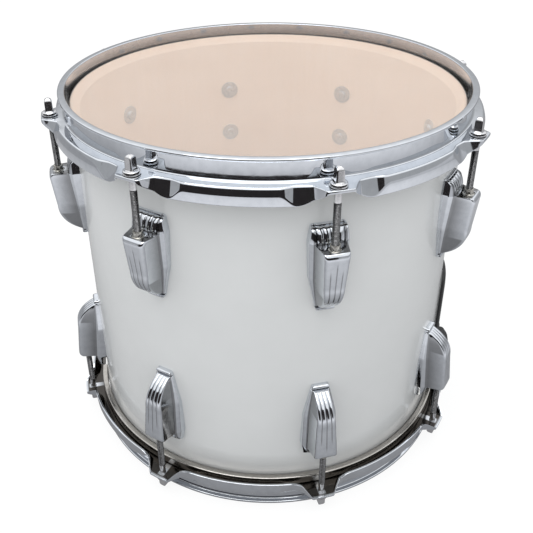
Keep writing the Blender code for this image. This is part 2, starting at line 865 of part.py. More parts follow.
def bevelled_box(name, low, high, width):
    bm = bmesh.new()
    bmesh.ops.create_cube(bm, size=1.0)
    size = [b - a for a, b in zip(low, high)]
    middle = [(a + b) / 2 for a, b in zip(low, high)]
    bmesh.ops.scale(bm, vec=size, verts=bm.verts)
    bmesh.ops.translate(bm, vec=middle, verts=bm.verts)
    upright = [
        edge for edge in bm.edges if abs(edge.verts[0].co.z - edge.verts[1].co.z) > size[2] / 2
    ]
    bmesh.ops.bevel(bm, geom=upright, offset=width, segments=2, affect="EDGES", profile=0.5)
    return mesh_from(bm, name)


def along_clamp():
    """Frame with its Z along the clamp's axis, away from the arm, in the bracket's own frame."""
    spot = Matrix.Translation((0, -(SHELL_RADIUS + BORE_FROM_SHELL), CLAMP_HEIGHT))
    return spot @ Matrix.Rotation(math.pi / 2, 4, "Y")


def receiver_mesh(back):
    """Block that holds the arm, from inside the plate out, longer on the clamp's side."""
    low = (
        -(BORE_RADIUS + RECEIVER_SIDE_WALL),
        -(SHELL_RADIUS + RECEIVER_FRONT),
        BRACKET_BOTTOM + SEAT,
    )
    high = (RECEIVER_SIDE, -(SHELL_RADIUS + back), BRACKET_BOTTOM + RECEIVER_HEIGHT)
    return bevelled_box("receiver", low, high, RECEIVER_BEVEL)


def cut_receiver(bracket):
    """Bore for the arm, pocket for the shoe and thread for the screw, one cut after another."""
    bore = Matrix.Translation((0, -(SHELL_RADIUS + BORE_FROM_SHELL), 0))
    low = BRACKET_BOTTOM - CUT_PAST
    high = BRACKET_BOTTOM + RECEIVER_HEIGHT + CUT_PAST
    cuts = (
        ("arm_bore", BORE_RADIUS, low, high, BORE_SIDES, bore),
        ("shoe_pocket", SHOE_RADIUS + SEAT, 0, POCKET_END, ROUND_SIDES, along_clamp()),
        (
            "clamp_thread",
            CLAMP_SCREW_RADIUS + SEAT,
            0,
            RECEIVER_SIDE + CUT_PAST,
            ROUND_SIDES,
            along_clamp(),
        ),
    )
    for name, radius, start, stop, sides, place in cuts:
        cutter = bmesh.new()
        add_prism(cutter, polygon_radius(radius, sides), start, stop, sides, place)
        cut(bracket, mesh_from(cutter, name))


def make_bracket(black, rubber):
    turn = (0, 0, math.radians(BRACKET_AZIMUTH))
    gasket_front = SEAT + GASKET_THICKNESS
    back = gasket_front + SEAT
    gasket_mesh = bracket_plate_mesh(
        "bracket_gasket", SEAT, gasket_front, gasket_front, gasket_front
    )
    gasket = add_object("bracket_gasket", gasket_mesh, rubber, rotation=turn)
    plate = bracket_plate_mesh(
        "mount_bracket", back, BRACKET_RISE, BRACKET_END_RISE, BRACKET_EDGE
    )
    bracket = add_object("mount_bracket", plate, black, rotation=turn)
    bpy.context.view_layer.update()
    cut(bracket, receiver_mesh((back + BRACKET_RISE) / 2), "UNION")
    cut_receiver(bracket)
    hole = polygon_radius(SCREW_RADIUS + SCREW_CLEARANCE, HIDDEN_SIDES)
    tip = SHELL_RADIUS + back + BRACKET_SCREW_BITE
    screws = bmesh.new()
    holes = bmesh.new()
    for azimuth, height in bracket_screw_spots():
        place = outward(azimuth - BRACKET_AZIMUTH, height)
        add_screw(screws, tip, azimuth, place)
        add_prism(holes, hole, SHELL_INNER, tip, HIDDEN_SIDES, place)
    cut(bracket, mesh_from(screws, "bracket_screws"), "UNION")
    cut(gasket, mesh_from(holes, "gasket_holes"))


def make_clamp(steel, black):
    """Pressure shoe that bears on the arm, and the wing screw that drives it."""
    world = turn_for(BRACKET_AZIMUTH) @ along_clamp()
    place = world.to_translation()
    turn = world.to_euler()
    shoe_profile = [
        (0, SHOE_FACE),
        (SHOE_RADIUS, SHOE_FACE),
        (SHOE_RADIUS, SHOE_BACK),
        (0, SHOE_BACK),
    ]
    shoe = turned_mesh("clamp_shoe", shoe_profile, ROUND_SIDES)
    add_object("clamp_shoe", shoe, steel, place, turn)
    hub_low = RECEIVER_SIDE + CLAMP_HUB_GAP
    hub_high = hub_low + CLAMP_HUB_LENGTH
    screw_profile = [
        (0, SHOE_BACK + SEAT),
        (CLAMP_SCREW_RADIUS, SHOE_BACK + SEAT),
        (CLAMP_SCREW_RADIUS, hub_low),
        (CLAMP_HUB_RADIUS, hub_low),
        (CLAMP_HUB_TIP_RADIUS, hub_high),
        (0, hub_high),
    ]
    screw_mesh = turned_mesh("clamp_wing_screw", screw_profile, ROUND_SIDES)
    screw = add_object("clamp_wing_screw", screw_mesh, black, place, turn)
    bpy.context.view_layer.update()
    cut(screw, wing_mesh(hub_low), "UNION")


def wing_mesh(base):
    """Two wings in one bow-tie plate, narrow at the hub and rounded at their tips."""
    tip_x = WING_SPAN / 2 - WING_TIP_RADIUS
    tip_z = base + WING_LENGTH - WING_TIP_RADIUS
    right = [(WING_ROOT, base + WING_ROOT_LOW)]
    for step in range(WING_TIP_STEPS + 1):
        turn = math.radians(-45 + 150 * step / WING_TIP_STEPS)
        x = tip_x + WING_TIP_RADIUS * math.cos(turn)
        right.append((x, tip_z + WING_TIP_RADIUS * math.sin(turn)))
    right.append((WING_ROOT, base + WING_ROOT_HIGH))
    outline = right + [(-x, z) for x, z in reversed(right)]
    bm = bmesh.new()
    thick = WING_THICKNESS / 2
    loft(bm, [[(x, side * thick, z) for x, z in outline] for side in (-1, 1)])
    return mesh_from(bm, "wings")


def make_drum():
    clear_scene()
    white = finish("white_gloss", (0.80, 0.80, 0.79), 0.15, 0.0)
    film = finish("clear_film", (0.86, 0.72, 0.62), 0.25, 0.0)
    chrome = finish("chrome", (0.72, 0.74, 0.77), 0.08, 1.0)
    aluminium = finish("aluminium", (0.70, 0.71, 0.72), 0.35, 1.0)
    steel = finish("zinc_steel", (0.45, 0.46, 0.46), 0.35, 1.0)
    brass = finish("nickel_brass", (0.62, 0.60, 0.55), 0.30, 1.0)
    black = finish("black_casting", (0.02, 0.02, 0.02), 0.40, 0.0)
    rubber = finish("grey_rubber", (0.20, 0.20, 0.20), 0.70, 0.0)
    make_shell(white)
    make_vent_grommet(chrome)
    make_heads(film, aluminium)
    make_hoops(chrome)
    make_rods(steel)
    make_swivel_nuts(brass)
    make_lugs(chrome)
    make_bracket(black, rubber)
    make_clamp(steel, black)


make_drum()
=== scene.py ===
# %% [markdown]
# This is a rack tom, fourteen inches across and thirteen deep: a white wooden shell with a
# clear head at each end, held by chromed hoops, tension rods and cast lugs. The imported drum
# from the workshop is loaded first and never moved. Everything made here sits on it, in
# metres, with +Z up the drum's axis and the middle of the lower rim at the origin.

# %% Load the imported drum
import math

import bmesh
import bpy
import numpy as np
from mathutils import Matrix, Vector


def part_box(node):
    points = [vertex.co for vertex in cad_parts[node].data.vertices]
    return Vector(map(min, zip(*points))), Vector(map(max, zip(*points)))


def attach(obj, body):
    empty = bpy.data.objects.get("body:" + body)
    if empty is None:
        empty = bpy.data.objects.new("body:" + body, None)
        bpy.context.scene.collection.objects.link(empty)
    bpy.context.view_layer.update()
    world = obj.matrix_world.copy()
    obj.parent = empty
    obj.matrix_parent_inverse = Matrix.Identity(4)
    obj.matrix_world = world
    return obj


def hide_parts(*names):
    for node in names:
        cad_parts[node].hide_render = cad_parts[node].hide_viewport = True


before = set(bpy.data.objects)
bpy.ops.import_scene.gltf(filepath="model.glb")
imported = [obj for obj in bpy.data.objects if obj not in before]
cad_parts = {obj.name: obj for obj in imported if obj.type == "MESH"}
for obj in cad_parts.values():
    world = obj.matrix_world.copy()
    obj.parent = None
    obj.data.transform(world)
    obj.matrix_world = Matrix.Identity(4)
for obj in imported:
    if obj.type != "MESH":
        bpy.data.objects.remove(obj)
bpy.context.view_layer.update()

# %% [markdown]
# Sizes that every piece shares are read from the drum where it has them, so that a new piece
# lands on the old one. Outlines below are in millimetres, with depths counted down from a rim.

# %% Shared sizes
MM = 0.001
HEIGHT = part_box("top_hoop")[1].z
SHELL_RADIUS = 0.1778
SHELL_INNER = 0.1695
ROD_CIRCLE = 195.6
EARS = 8
EAR_STEP = 360 / EARS
ENDS = ("top", "bottom")
print("height", round(HEIGHT / MM, 1), "mm")

# %% [markdown]
# A material is a small network of nodes. These helpers keep each network readable: one starts
# a material with its single shader, the others add a node, noise, a mix or a change of range.

# %% Material helpers


def start_material(name, **sockets):
    """A material with one Principled shader; its uniform values sit on the shader's sockets."""
    made = bpy.data.materials.new(name)
    made.use_nodes = True
    shader = made.node_tree.nodes["Principled BSDF"]
    for socket, value in sockets.items():
        shader.inputs[socket.replace("_", " ")].default_value = value
    return made, shader


def add_node(tree, kind, wires=None, **values):
    """A node of this kind: values go to its sockets or settings, wires join outputs to inputs."""
    made = tree.nodes.new("ShaderNode" + kind)
    for name, value in values.items():
        if hasattr(made, name):
            setattr(made, name, value)
        else:
            made.inputs[name.replace("_", " ")].default_value = value
    for key, output in (wires or {}).items():
        tree.links.new(output, made.inputs[key])
    return made


def object_points(tree, scale=(1.0, 1.0, 1.0)):
    """Object coordinates, scaled."""
    place = add_node(tree, "TexCoord")
    return add_node(tree, "Mapping", {0: place.outputs["Object"]}, Scale=scale).outputs[0]


def noise(tree, points, size, detail=3.0):
    """Noise whose blobs are about this size in metres."""
    return add_node(tree, "TexNoise", {"Vector": points}, Scale=1 / size, Detail=detail).outputs[0]


def spread(tree, value, low, high, low_to, high_to):
    """The value's range low to high, carried over to low_to to high_to and clamped."""
    return add_node(tree, "MapRange", {0: value}, From_Min=low, From_Max=high,
                    To_Min=low_to, To_Max=high_to).outputs[0]


def colour_ramp(tree, value, *stops):
    """Colours by the value, straight between stops that each give a position and a colour."""
    made = add_node(tree, "ValToRGB", {0: value})
    points = made.color_ramp.elements
    for point, (position, colour) in zip((points[0], points[1]), (stops[0], stops[-1])):
        point.position, point.color = position, (*colour, 1)
    for position, colour in stops[1:-1]:
        points.new(position).color = (*colour, 1)
    return made.outputs[0]


def mix_colours(tree, share, first, second):
    """A colour that gives way to a fixed second one by this share."""
    made = add_node(tree, "Mix", {0: share, 6: first}, data_type="RGBA")
    made.inputs[7].default_value = (*second, 1)
    return made.outputs[2]


def times(tree, value, factor):
    """The value times a fixed factor."""
    made = add_node(tree, "Math", {0: value}, operation="MULTIPLY")
    made.inputs[1].default_value = factor
    return made.outputs[0]


def bump(tree, height, strength, distance, shader):
    """Let a height tilt the shader's surface."""
    tilt = add_node(tree, "Bump", {"Height": height}, Strength=strength, Distance=distance)
    tree.links.new(tilt.outputs[0], shader.inputs["Normal"])


print("material helpers ready")

# %% [markdown]
# Chrome is nearly a mirror, faintly blue, with a soft orange peel from the polish beneath it
# and a few tiny pits. Steel, zinc, brass and aluminium are the same idea with more haze. So one
# recipe makes every metal: colour and roughness follow a cloud, the surface tilts with a
# larger, very weak cloud, and pits are the rare peaks of a fine noise.
#
# Polished metal stays dark where it faces other metal. Meshes carry that as painted shade in a point
# attribute, 1 in a deep groove and 0 in the open. It darkens a metal's colour and dulls it a little.

# %% Metals
# The second colour is the painted shade that recesses are darkened towards.
PIT_COLOUR, PAINTED_SHADE_COLOUR = (0.25, 0.25, 0.26), (0.07, 0.065, 0.06)
PIT_SIZE = 0.0011


def metal(name, colour, darker, rough_low, rough_high, grain, peel=0.02, pits=0.0):
    """Metal whose colour, roughness and surface vary by noise of the grain's size."""
    made, shader = start_material(name, Metallic=1.0)
    tree = made.node_tree
    points = object_points(tree)
    cloud = noise(tree, points, grain)
    colours = colour_ramp(tree, cloud, (0.3, darker), (0.6, colour))
    rough = spread(tree, cloud, 0.3, 0.7, rough_high, rough_low)
    if pits:
        specks = noise(tree, points, PIT_SIZE, 1.0)
        colours = mix_colours(tree, spread(tree, specks, 0.76, 0.82, 0.0, pits), colours, PIT_COLOUR)
    # Painted shade: the point attribute darkens the metal's colour in recesses and corners.
    painted_shade = add_node(tree, "Attribute")
    painted_shade.attribute_name = "painted_shade"
    depth = painted_shade.outputs["Fac"]
    dull = add_node(tree, "Math", {0: depth, 1: rough, 2: rough}, operation="MULTIPLY_ADD")
    tree.links.new(mix_colours(tree, depth, colours, PAINTED_SHADE_COLOUR), shader.inputs["Base Color"])
    tree.links.new(dull.outputs[0], shader.inputs["Roughness"])
    bump(tree, noise(tree, points, grain * 2.5, 2.0), peel, grain, shader)
    return made


CHROME = metal("bright_chrome", (0.74, 0.77, 0.81), (0.69, 0.72, 0.76), 0.03, 0.07, 0.006, 0.006, 0.5)
LUG_CHROME = metal("lug_chrome", (0.72, 0.75, 0.79), (0.66, 0.69, 0.73), 0.04, 0.09, 0.005, 0.008, 0.4)
BRIGHT_STEEL = metal("plated_steel", (0.80, 0.80, 0.81), (0.74, 0.74, 0.75), 0.13, 0.20, 0.002, 0.01)
THREAD_STEEL = metal("thread_steel", (0.20, 0.20, 0.205), (0.10, 0.10, 0.10), 0.18, 0.32, 0.0016, 0.03)
BRASS = metal("nickel_brass", (0.60, 0.59, 0.55), (0.48, 0.46, 0.42), 0.15, 0.30, 0.002, 0.03)
ALUMINIUM = metal("flesh_aluminium", (0.50, 0.48, 0.45), (0.44, 0.42, 0.39), 0.16, 0.26, 0.003, 0.01)
ZINC = metal("zinc_steel", (0.58, 0.60, 0.62), (0.46, 0.48, 0.50), 0.28, 0.45, 0.003, 0.08)
print("metals", len(bpy.data.materials))

# %% [markdown]
# Gloss covering, black paint and rubber aren't metal. Each has a colour and roughness that
# drift with one cloud, and a fine surface: the covering is all but flat, the paint is grainy.
# Near its foot the covering's colour is darkened and warmed with painted shade, for the shade of the lower
# hoop.

# %% Covering, paint and rubber


def plain_stuff(name, colour, other, rough_low, rough_high, grain, relief, **sockets):
    """A material that isn't metal, varied by noise of the grain's size."""
    made, shader = start_material(name, **sockets)
    tree = made.node_tree
    cloud = noise(tree, object_points(tree), grain)
    tree.links.new(colour_ramp(tree, cloud, (0.3, other), (0.7, colour)), shader.inputs["Base Color"])
    tree.links.new(spread(tree, cloud, 0.3, 0.7, rough_low, rough_high), shader.inputs["Roughness"])
    bump(tree, cloud, relief, grain, shader)
    return made


WHITE = plain_stuff("white_gloss", (0.645, 0.65, 0.645), (0.63, 0.635, 0.63), 0.16, 0.22, 0.03, 0.004,
                    Coat_Weight=0.25, Coat_Roughness=0.06)
tree, shader = WHITE.node_tree, WHITE.node_tree.nodes["Principled BSDF"]
# Painted shade: the covering's colour darkens towards the lower hoop.
height = add_node(tree, "SeparateXYZ", {0: object_points(tree)}).outputs[2]
foot = spread(tree, height, 0.012, 0.052, 0.45, 0.0)
upper_colour = shader.inputs["Base Color"].links[0].from_socket
tree.links.new(mix_colours(tree, foot, upper_colour, (0.30, 0.285, 0.26)), shader.inputs["Base Color"])
BLACK = plain_stuff("black_casting", (0.018, 0.018, 0.019), (0.010, 0.010, 0.010), 0.35, 0.5, 0.0009, 0.25)
RUBBER = plain_stuff("gasket_rubber", (0.20, 0.20, 0.20), (0.15, 0.15, 0.15), 0.6, 0.8, 0.0015, 0.2)
print("materials", len(bpy.data.materials))

# %% [markdown]
# The shell's wood is maple: pale, with fine pores drawn out up the shell. On the cut edges the
# plies show as rings, so every line of glue is a thin dark ring at its own radius.

# %% Maple
PLY = 0.00138
WOOD, shader = start_material("maple_plies")
tree = WOOD.node_tree
figure = noise(tree, object_points(tree, (1.0, 1.0, 0.045)), 0.0035, 4.0)
bands = noise(tree, object_points(tree, (1.0, 1.0, 0.25)), 0.06, 2.0)
both = add_node(tree, "Math", {0: figure, 1: bands}, operation="ADD")
half_sum = times(tree, both.outputs[0], 0.5)
wood_colour = colour_ramp(tree, half_sum, (0.35, (0.85, 0.64, 0.48)), (0.68, (0.89, 0.70, 0.55)))
split = add_node(tree, "SeparateXYZ", {0: object_points(tree)})
flat_part = add_node(tree, "CombineXYZ", {0: split.outputs[0], 1: split.outputs[1]})
radius = add_node(tree, "VectorMath", {0: flat_part.outputs[0]}, operation="LENGTH").outputs["Value"]
wave = add_node(tree, "Math", {0: times(tree, radius, 2 * math.pi / PLY)}, operation="SINE")
ply_dark = spread(tree, wave.outputs[0], 0.80, 0.98, 0.0, 0.35)
tree.links.new(mix_colours(tree, ply_dark, wood_colour, (0.58, 0.42, 0.30)), shader.inputs["Base Color"])
tree.links.new(spread(tree, figure, 0.3, 0.7, 0.42, 0.30), shader.inputs["Roughness"])
bump(tree, figure, 0.08, 0.0006, shader)
print("plies", PLY, "m thick")

# %% [markdown]
# The heads are clear film. It lets most light straight through, so its alpha is low, and the
# rest is the faint haze of its surface, with scuffs that gather here and there.

# %% Clear film
CLEAR, shader = start_material("clear_film", Alpha=0.24, Roughness=0.16)
tree = CLEAR.node_tree
haze = noise(tree, object_points(tree), 0.05, 3.0)
film_colour = colour_ramp(tree, haze, (0.3, (0.88, 0.80, 0.74)), (0.7, (0.91, 0.84, 0.78)))
tree.links.new(film_colour, shader.inputs["Base Color"])
tree.links.new(spread(tree, haze, 0.3, 0.7, 0.12, 0.22), shader.inputs["Roughness"])
bump(tree, noise(tree, object_points(tree), 0.09, 1.0), 0.03, 0.002, shader)
print("materials", len(bpy.data.materials))

# %% [markdown]
# Every new surface below is a grid of points worked out as whole arrays. These helpers turn
# grids into meshes, cut or join them, and hang a finished mesh on its part of the drum.

# %% Mesh helpers
scene = bpy.context.scene


def grid_quads(rows, columns, ring_rows=False, ring_columns=True):
    """Quads of a grid: point (i, j) joins (i, j+1), (i+1, j+1) and (i+1, j); a ring wraps."""
    i, j = np.meshgrid(
        np.arange(rows if ring_rows else rows - 1),
        np.arange(columns if ring_columns else columns - 1),
        indexing="ij",
    )
    down, across = (i + 1) % rows, (j + 1) % columns
    corners = (i * columns + j, i * columns + across, down * columns + across, down * columns + j)
    return np.stack(corners, -1).reshape(-1, 4).tolist()


def make_mesh(name, points, faces, sharp=35, painted_shade=None):
    """Mesh from points in millimetres: doubles merged, faces outward, smooth but for sharp edges.

    Painted shade is 1 at points that lie deep and shaded, 0 in the open; the metals darken their colour by
    it.
    """
    mesh = bpy.data.meshes.new(name)
    mesh.from_pydata((np.reshape(points, (-1, 3)) * MM).tolist(), [], faces)
    if painted_shade is not None:
        depths = mesh.attributes.new("painted_shade", "FLOAT", "POINT")
        depths.data.foreach_set("value", np.ravel(painted_shade).astype(np.float32))
    work = bmesh.new()
    work.from_mesh(mesh)
    bmesh.ops.remove_doubles(work, verts=work.verts, dist=2e-6)
    bmesh.ops.recalc_face_normals(work, faces=work.faces)
    work.to_mesh(mesh)
    work.free()
    mesh.shade_smooth()
    mesh.set_sharp_from_angle(angle=math.radians(sharp))
    return mesh


def combine(mesh, other, how="DIFFERENCE"):
    """Boolean of two closed meshes, kept as a mesh; unless told, it cuts the other one out."""
    base = bpy.data.objects.new("base", mesh)
    tool = bpy.data.objects.new("tool", other)
    for obj in (base, tool):
        scene.collection.objects.link(obj)
    step = base.modifiers.new("combine", "BOOLEAN")
    step.operation, step.solver, step.object = how, "EXACT", tool
    bpy.context.view_layer.update()
    made = bpy.data.meshes.new_from_object(base.evaluated_get(bpy.context.evaluated_depsgraph_get()))
    made.name = mesh.name
    for obj in (base, tool):
        bpy.data.objects.remove(obj)
    made.shade_smooth()
    made.set_sharp_from_angle(angle=math.radians(35))
    return made


def dress(name, mesh, material, body, slot, *nodes):
    """Hang a finished mesh on its body with its material, and hide the nodes it stands for; the slot is not
    used.
    """
    obj = bpy.data.objects.new(name, mesh)
    scene.collection.objects.link(obj)
    mesh.materials.clear()
    mesh.materials.append(material)
    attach(obj, body)
    if nodes:
        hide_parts(*nodes)
    return obj


def join_grids(grids):
    """Points and faces of several grids as one: each grid's faces count on from the last one's."""
    points, faces, count = [], [], 0
    for grid_points, grid_faces in grids:
        flat = np.reshape(grid_points, (-1, 3))
        faces += [[index + count for index in face] for face in grid_faces]
        points.append(flat)
        count += len(flat)
    return np.concatenate(points), faces


print("mesh helpers ready")

# %% [markdown]
# Two forms come back again and again. A turned form carries a profile of radius and height
# round the axis. A bent form is an outline whose corners have been eased, as pressed sheet and
# cast metal always are: each corner is swapped for a short curve that touches both its sides.
# Every piece at an ear is modelled once, at the top front, and copied to the other places.

# %% Turned and bent forms


def turned(profile, sides, closed=False):
    """Points and faces of a turning: (r, z) goes to (r sin a, -r cos a, z) for each angle a."""
    profile = np.asarray(profile, float)
    a = np.linspace(0, 2 * np.pi, sides, endpoint=False)
    r, z = profile[:, :1], profile[:, 1:]
    points = np.stack([r * np.sin(a), -r * np.cos(a), z + 0 * a], -1)
    return points, grid_quads(len(profile), sides, ring_rows=closed)


def bore(radius, low, high, sides):
    """Turning of a plain round bore."""
    return turned([(0, low), (radius, low), (radius, high), (0, high)], sides)


def ease(before, corner, after, reach, steps=5):
    """Curve c + p (1-t)^2 + q t^2 that takes a corner's place.

    p and q run from the corner c along its two sides, as far as the reach or 0.45 of the side.
    """
    def leg(end):
        side = end - corner
        length = np.linalg.norm(side, axis=-1, keepdims=True)
        held = np.minimum(np.asarray(reach, float)[..., None], 0.45 * length)
        return side / np.maximum(length, 1e-9) * held

    t = np.linspace(0, 1, steps)[:, None]
    return corner[..., None, :] + leg(before)[..., None, :] * (1 - t) ** 2 + leg(after)[..., None, :] * t**2


def eased_outline(corners, reaches, steps=5):
    """Closed outline (..., n, 2) with every corner eased; a reach may vary from row to row."""
    corners = np.asarray(corners, float)
    n = corners.shape[-2]
    runs = [
        ease(corners[..., i - 1, :], corners[..., i, :], corners[..., (i + 1) % n, :],
             reaches[i] + 0 * corners[..., i, 0], steps)
        for i in range(n)
    ]
    return np.concatenate(runs, -2)


def smooth_step(t):
    """0 below 0, 1 above 1, and 3t^2 - 2t^3 between."""
    t = np.clip(t, 0, 1)
    return t * t * (3 - 2 * t)


def turned_to(points, azimuth):
    """Points modelled at azimuth 0, turned about Z to their azimuth."""
    x, y, z = np.moveaxis(np.asarray(points, float), -1, 0)
    a = math.radians(azimuth)
    return np.stack([x * math.cos(a) - y * math.sin(a), x * math.sin(a) + y * math.cos(a), z], -1)


def outward(points, azimuth, height):
    """Points of a turning about Z laid so that its Z runs out through the wall at this place."""
    x, y, z = np.moveaxis(np.asarray(points, float), -1, 0)
    return turned_to(np.stack([x, -z, y + height], -1), azimuth)


def set_at(points, azimuth, end):
    """An upper pattern, modelled at azimuth 0 with its zero at the rim, brought to its place.

    For the lower end it is first turned half round about Y. Both are then turned about Z.
    """
    side, rim = (1, HEIGHT / MM) if end == "top" else (-1, 0)
    return turned_to(np.asarray(points, float) * [side, 1, side], azimuth) + [0, 0, rim]


def move_points(mesh, how):
    """The mesh, with its points in millimetres sent through this function."""
    flat = np.empty(len(mesh.vertices) * 3, np.float32)
    mesh.vertices.foreach_get("co", flat)
    moved = how(flat.reshape(-1, 3) / MM) * MM
    mesh.vertices.foreach_set("co", moved.astype(np.float32).ravel())
    mesh.update()
    return mesh


def copy_to(mesh, name, azimuth, end):
    """Copy of an upper pattern's mesh with its points set at this azimuth and end."""
    made = mesh.copy()
    made.name = name
    return move_points(made, lambda points: set_at(points, azimuth, end))


def dress_ears(parts, body, slot, node):
    """Hang the parts, a mesh and a material under each name, at all ears of both ends."""
    for end in ENDS:
        for ear in range(EARS):
            here = {"end": end, "ear": ear + 1}
            for pattern, (mesh, material) in parts.items():
                name = pattern.format(**here)
                placed = copy_to(mesh, name, ear * EAR_STEP, end)
                dress(name, placed, material, body.format(**here), slot, node.format(**here))


print("ears", EARS, "at each end, every", EAR_STEP, "degrees")

# %% [markdown]
# The shell is bent from plies of wood, with a bearing edge cut at each end for the head to
# lie on, and its outside wears a white gloss covering. The covering is as thin as a sheet, so
# the edge between white and wood falls on the outer round of the bearing edge, as on the real
# drum.

# %% Shell of wood and its covering
COVER, EDGE_ROUND, RIM_OVER_SHELL = 0.5, 1.8, 11.0
VENT_AZIMUTH, VENT_BORE = -112.5, 5.25
middle, shell_high = HEIGHT / MM / 2, HEIGHT / MM - RIM_OVER_SHELL
outer, inner = SHELL_RADIUS / MM, SHELL_INNER / MM
peak = outer - EDGE_ROUND
arc = np.linspace(0, np.pi / 2, 7)[:, None]
round_off = np.concatenate(
    [peak + EDGE_ROUND * np.cos(arc), shell_high - EDGE_ROUND + EDGE_ROUND * np.sin(arc)], 1
)
seam = [[outer - COVER, round_off[2, 1] - 0.3], [outer - COVER, middle + 1]]
cover_half = np.concatenate([[[outer, middle + 1]], round_off[:3], seam])
slope_foot = shell_high - (peak - inner)
wood_half = np.concatenate([
    seam[::-1], round_off[2:] - [0.02, 0],
    [[inner + 0.4, slope_foot + 0.4], [inner, slope_foot - 0.4], [inner, middle + 1]],
])


def mirrored_ring(name, half, sides=360):
    """Turn a half profile, and its mirror image below the drum's middle, into one ring."""
    ring = np.concatenate([half, (half * [1, -1] + [0, HEIGHT / MM])[::-1]])
    return make_mesh(name, *turned(ring, sides, closed=True))


points, faces = bore(VENT_BORE, inner - 5, outer + 5, 32)
drill = make_mesh("drill", outward(points, VENT_AZIMUTH, middle), faces)
for name, half, material in (("shell_covering", cover_half, WHITE), ("shell_wood", wood_half, WOOD)):
    mesh = combine(mirrored_ring(name, half), drill)
    dress(name, mesh, material, "root", "white_shell", "shell")
    print(name, len(mesh.vertices), "points")

# %% [markdown]
# The vent is an eyelet pressed through the wall, rolled over outside. It is one turning.

# %% Vent eyelet
eyelet = [
    (4.2, inner + 0.2), (5.1, inner + 0.2), (5.1, outer + 0.3), (8.0, outer + 0.3), (8.5, outer + 0.5),
    (8.3, outer + 1.0), (7.4, outer + 1.35), (6.0, outer + 1.5), (4.9, outer + 1.3), (4.3, outer + 0.7),
]
points, faces = turned(eyelet, 48, closed=True)
vent = make_mesh("vent", outward(points, VENT_AZIMUTH, middle), faces)
dress("vent_eyelet", vent, CHROME, "root", "vent_chrome", "vent_grommet")
print("vent at azimuth", VENT_AZIMUTH)

# %% [markdown]
# A drum head is a disc of clear film whose edge is held in a ring of aluminium, the flesh
# hoop. The film lies flat over the shell, bends over the bearing edge and runs down into the
# ring. It is modelled with its real thickness, as one turning from the axis out and back.

# %% Heads
FILM, FILM_BEND = 0.25, 2.1
film_flat, film_tuck = -10.45, -27.6
bend = np.linspace(0, np.pi / 2, 9)[:, None]
spread_out = np.array([0.0, 40, 80, 120, 150, 170, 174])


def film_face(under):
    """One face of the film: flat from the axis out, a quarter circle, and straight down."""
    reach = FILM_BEND - under
    turn = [peak + 0.4 + reach * np.sin(bend), film_flat - FILM_BEND + reach * np.cos(bend)]
    turn = np.concatenate(turn, 1)
    flat = np.stack([spread_out, film_flat - under + 0 * spread_out], 1)
    return np.concatenate([flat, turn, [[turn[-1, 0], film_tuck]]])


film_profile = np.concatenate([film_face(0), film_face(FILM)[::-1]])
film_points, film_faces = turned(film_profile, 256)
flesh_outline = eased_outline(
    [(178.9, -21.6), (178.9, -30.5), (184.5, -30.5), (184.5, -21.6)], (0.8, 1.0, 1.4, 1.4), 5
)
flesh_points, flesh_faces = turned(flesh_outline, 256, closed=True)
for end in ENDS:
    film = make_mesh(end + "_film", set_at(film_points, 0, end), film_faces)
    dress(end + "_clear_head", film, CLEAR, "root", "clear_film", end + "_head_film")
    flesh = make_mesh(end + "_flesh", set_at(flesh_points, 0, end), flesh_faces)
    dress(end + "_flesh_ring", flesh, ALUMINIUM, "root", "flesh_aluminium", end + "_flesh_hoop")
print("heads", len(film_profile), "profile points")

# %% [markdown]
# The hoop that pulls the head down is pressed from one strip of steel with three bends: a lip
# at the rim, a ledge over the flesh hoop and a flange that hangs from the ledge. At each rod
# the ledge runs out into an ear, and the flange sweeps up beside it. So one section is carried
# round the drum, and with the distance from the nearest ear it changes how far out the ledge
# reaches, how far down the flange hangs and how high its bend lies. The columns crowd towards
# the ears, where the form turns. Its inner side lies in shade, and that shade is painted into its colour.

# %% Hoops
HOOP_SHEET = 2.3
wall_in, wall_out, lip_out = 181.0, 183.3, 187.1
ledge_top, ledge_under, flange_end = 19.0, 21.3, 32.5
ear_tip, flange_out = 203.4, 194.9
EAR_HALF, CORNER_STEPS = 9.5, 7
share = np.linspace(-1, 1, 120, endpoint=False)
warp = share * (0.45 + 0.55 * share**2)
azimuths = np.concatenate([math.radians(EAR_STEP) * (ear + warp / 2) for ear in range(EARS)])
off_ear = np.abs(np.tile(warp, EARS)) * math.pi / EARS * ear_tip
sweep = 1 - (1 - np.clip((off_ear - EAR_HALF) / 22.0, 0, 1)) ** 2
beside = np.clip((off_ear - 9.8) / 9.4, 0, 1)
tip = ear_tip + (flange_out - ear_tip) * (0.65 * beside + 0.35 * smooth_step(beside))
skirt = ledge_under + (flange_end + 1.0 - ledge_under) * sweep
waist = ledge_top + (skirt - ledge_top) * (0.94 - 0.56 * smooth_step((off_ear - 30) / 14))
inner_waist = np.maximum(waist, ledge_under + (skirt - ledge_under) * 0.5)
lean = 0.34 * (waist - ledge_top) * smooth_step((off_ear - EAR_HALF) / 4)
corners = (
    (wall_in, 0), (lip_out, 0), (lip_out, -2.1), (wall_out, -3.3), (wall_out, -ledge_top),
    (tip - lean, -ledge_top), (tip, -waist), (tip, -skirt), (tip - HOOP_SHEET, -skirt),
    (tip - HOOP_SHEET, -inner_waist), (tip - lean - HOOP_SHEET, -ledge_under), (wall_in, -ledge_under),
)
section = np.stack([np.stack([r + 0 * tip, z + 0 * tip], -1) for r, z in corners], 1)
reaches = (0.9, 1.0, 0.9, 1.0, 2.2, 1.0 + 0.5 * sweep, 1.2 * sweep, 0.8, 0.8, 2.0 * sweep,
           0.2 + 1.5 * sweep, 1.4)
outline = eased_outline(section, reaches, CORNER_STEPS)
r, z = outline[..., 0], outline[..., 1]
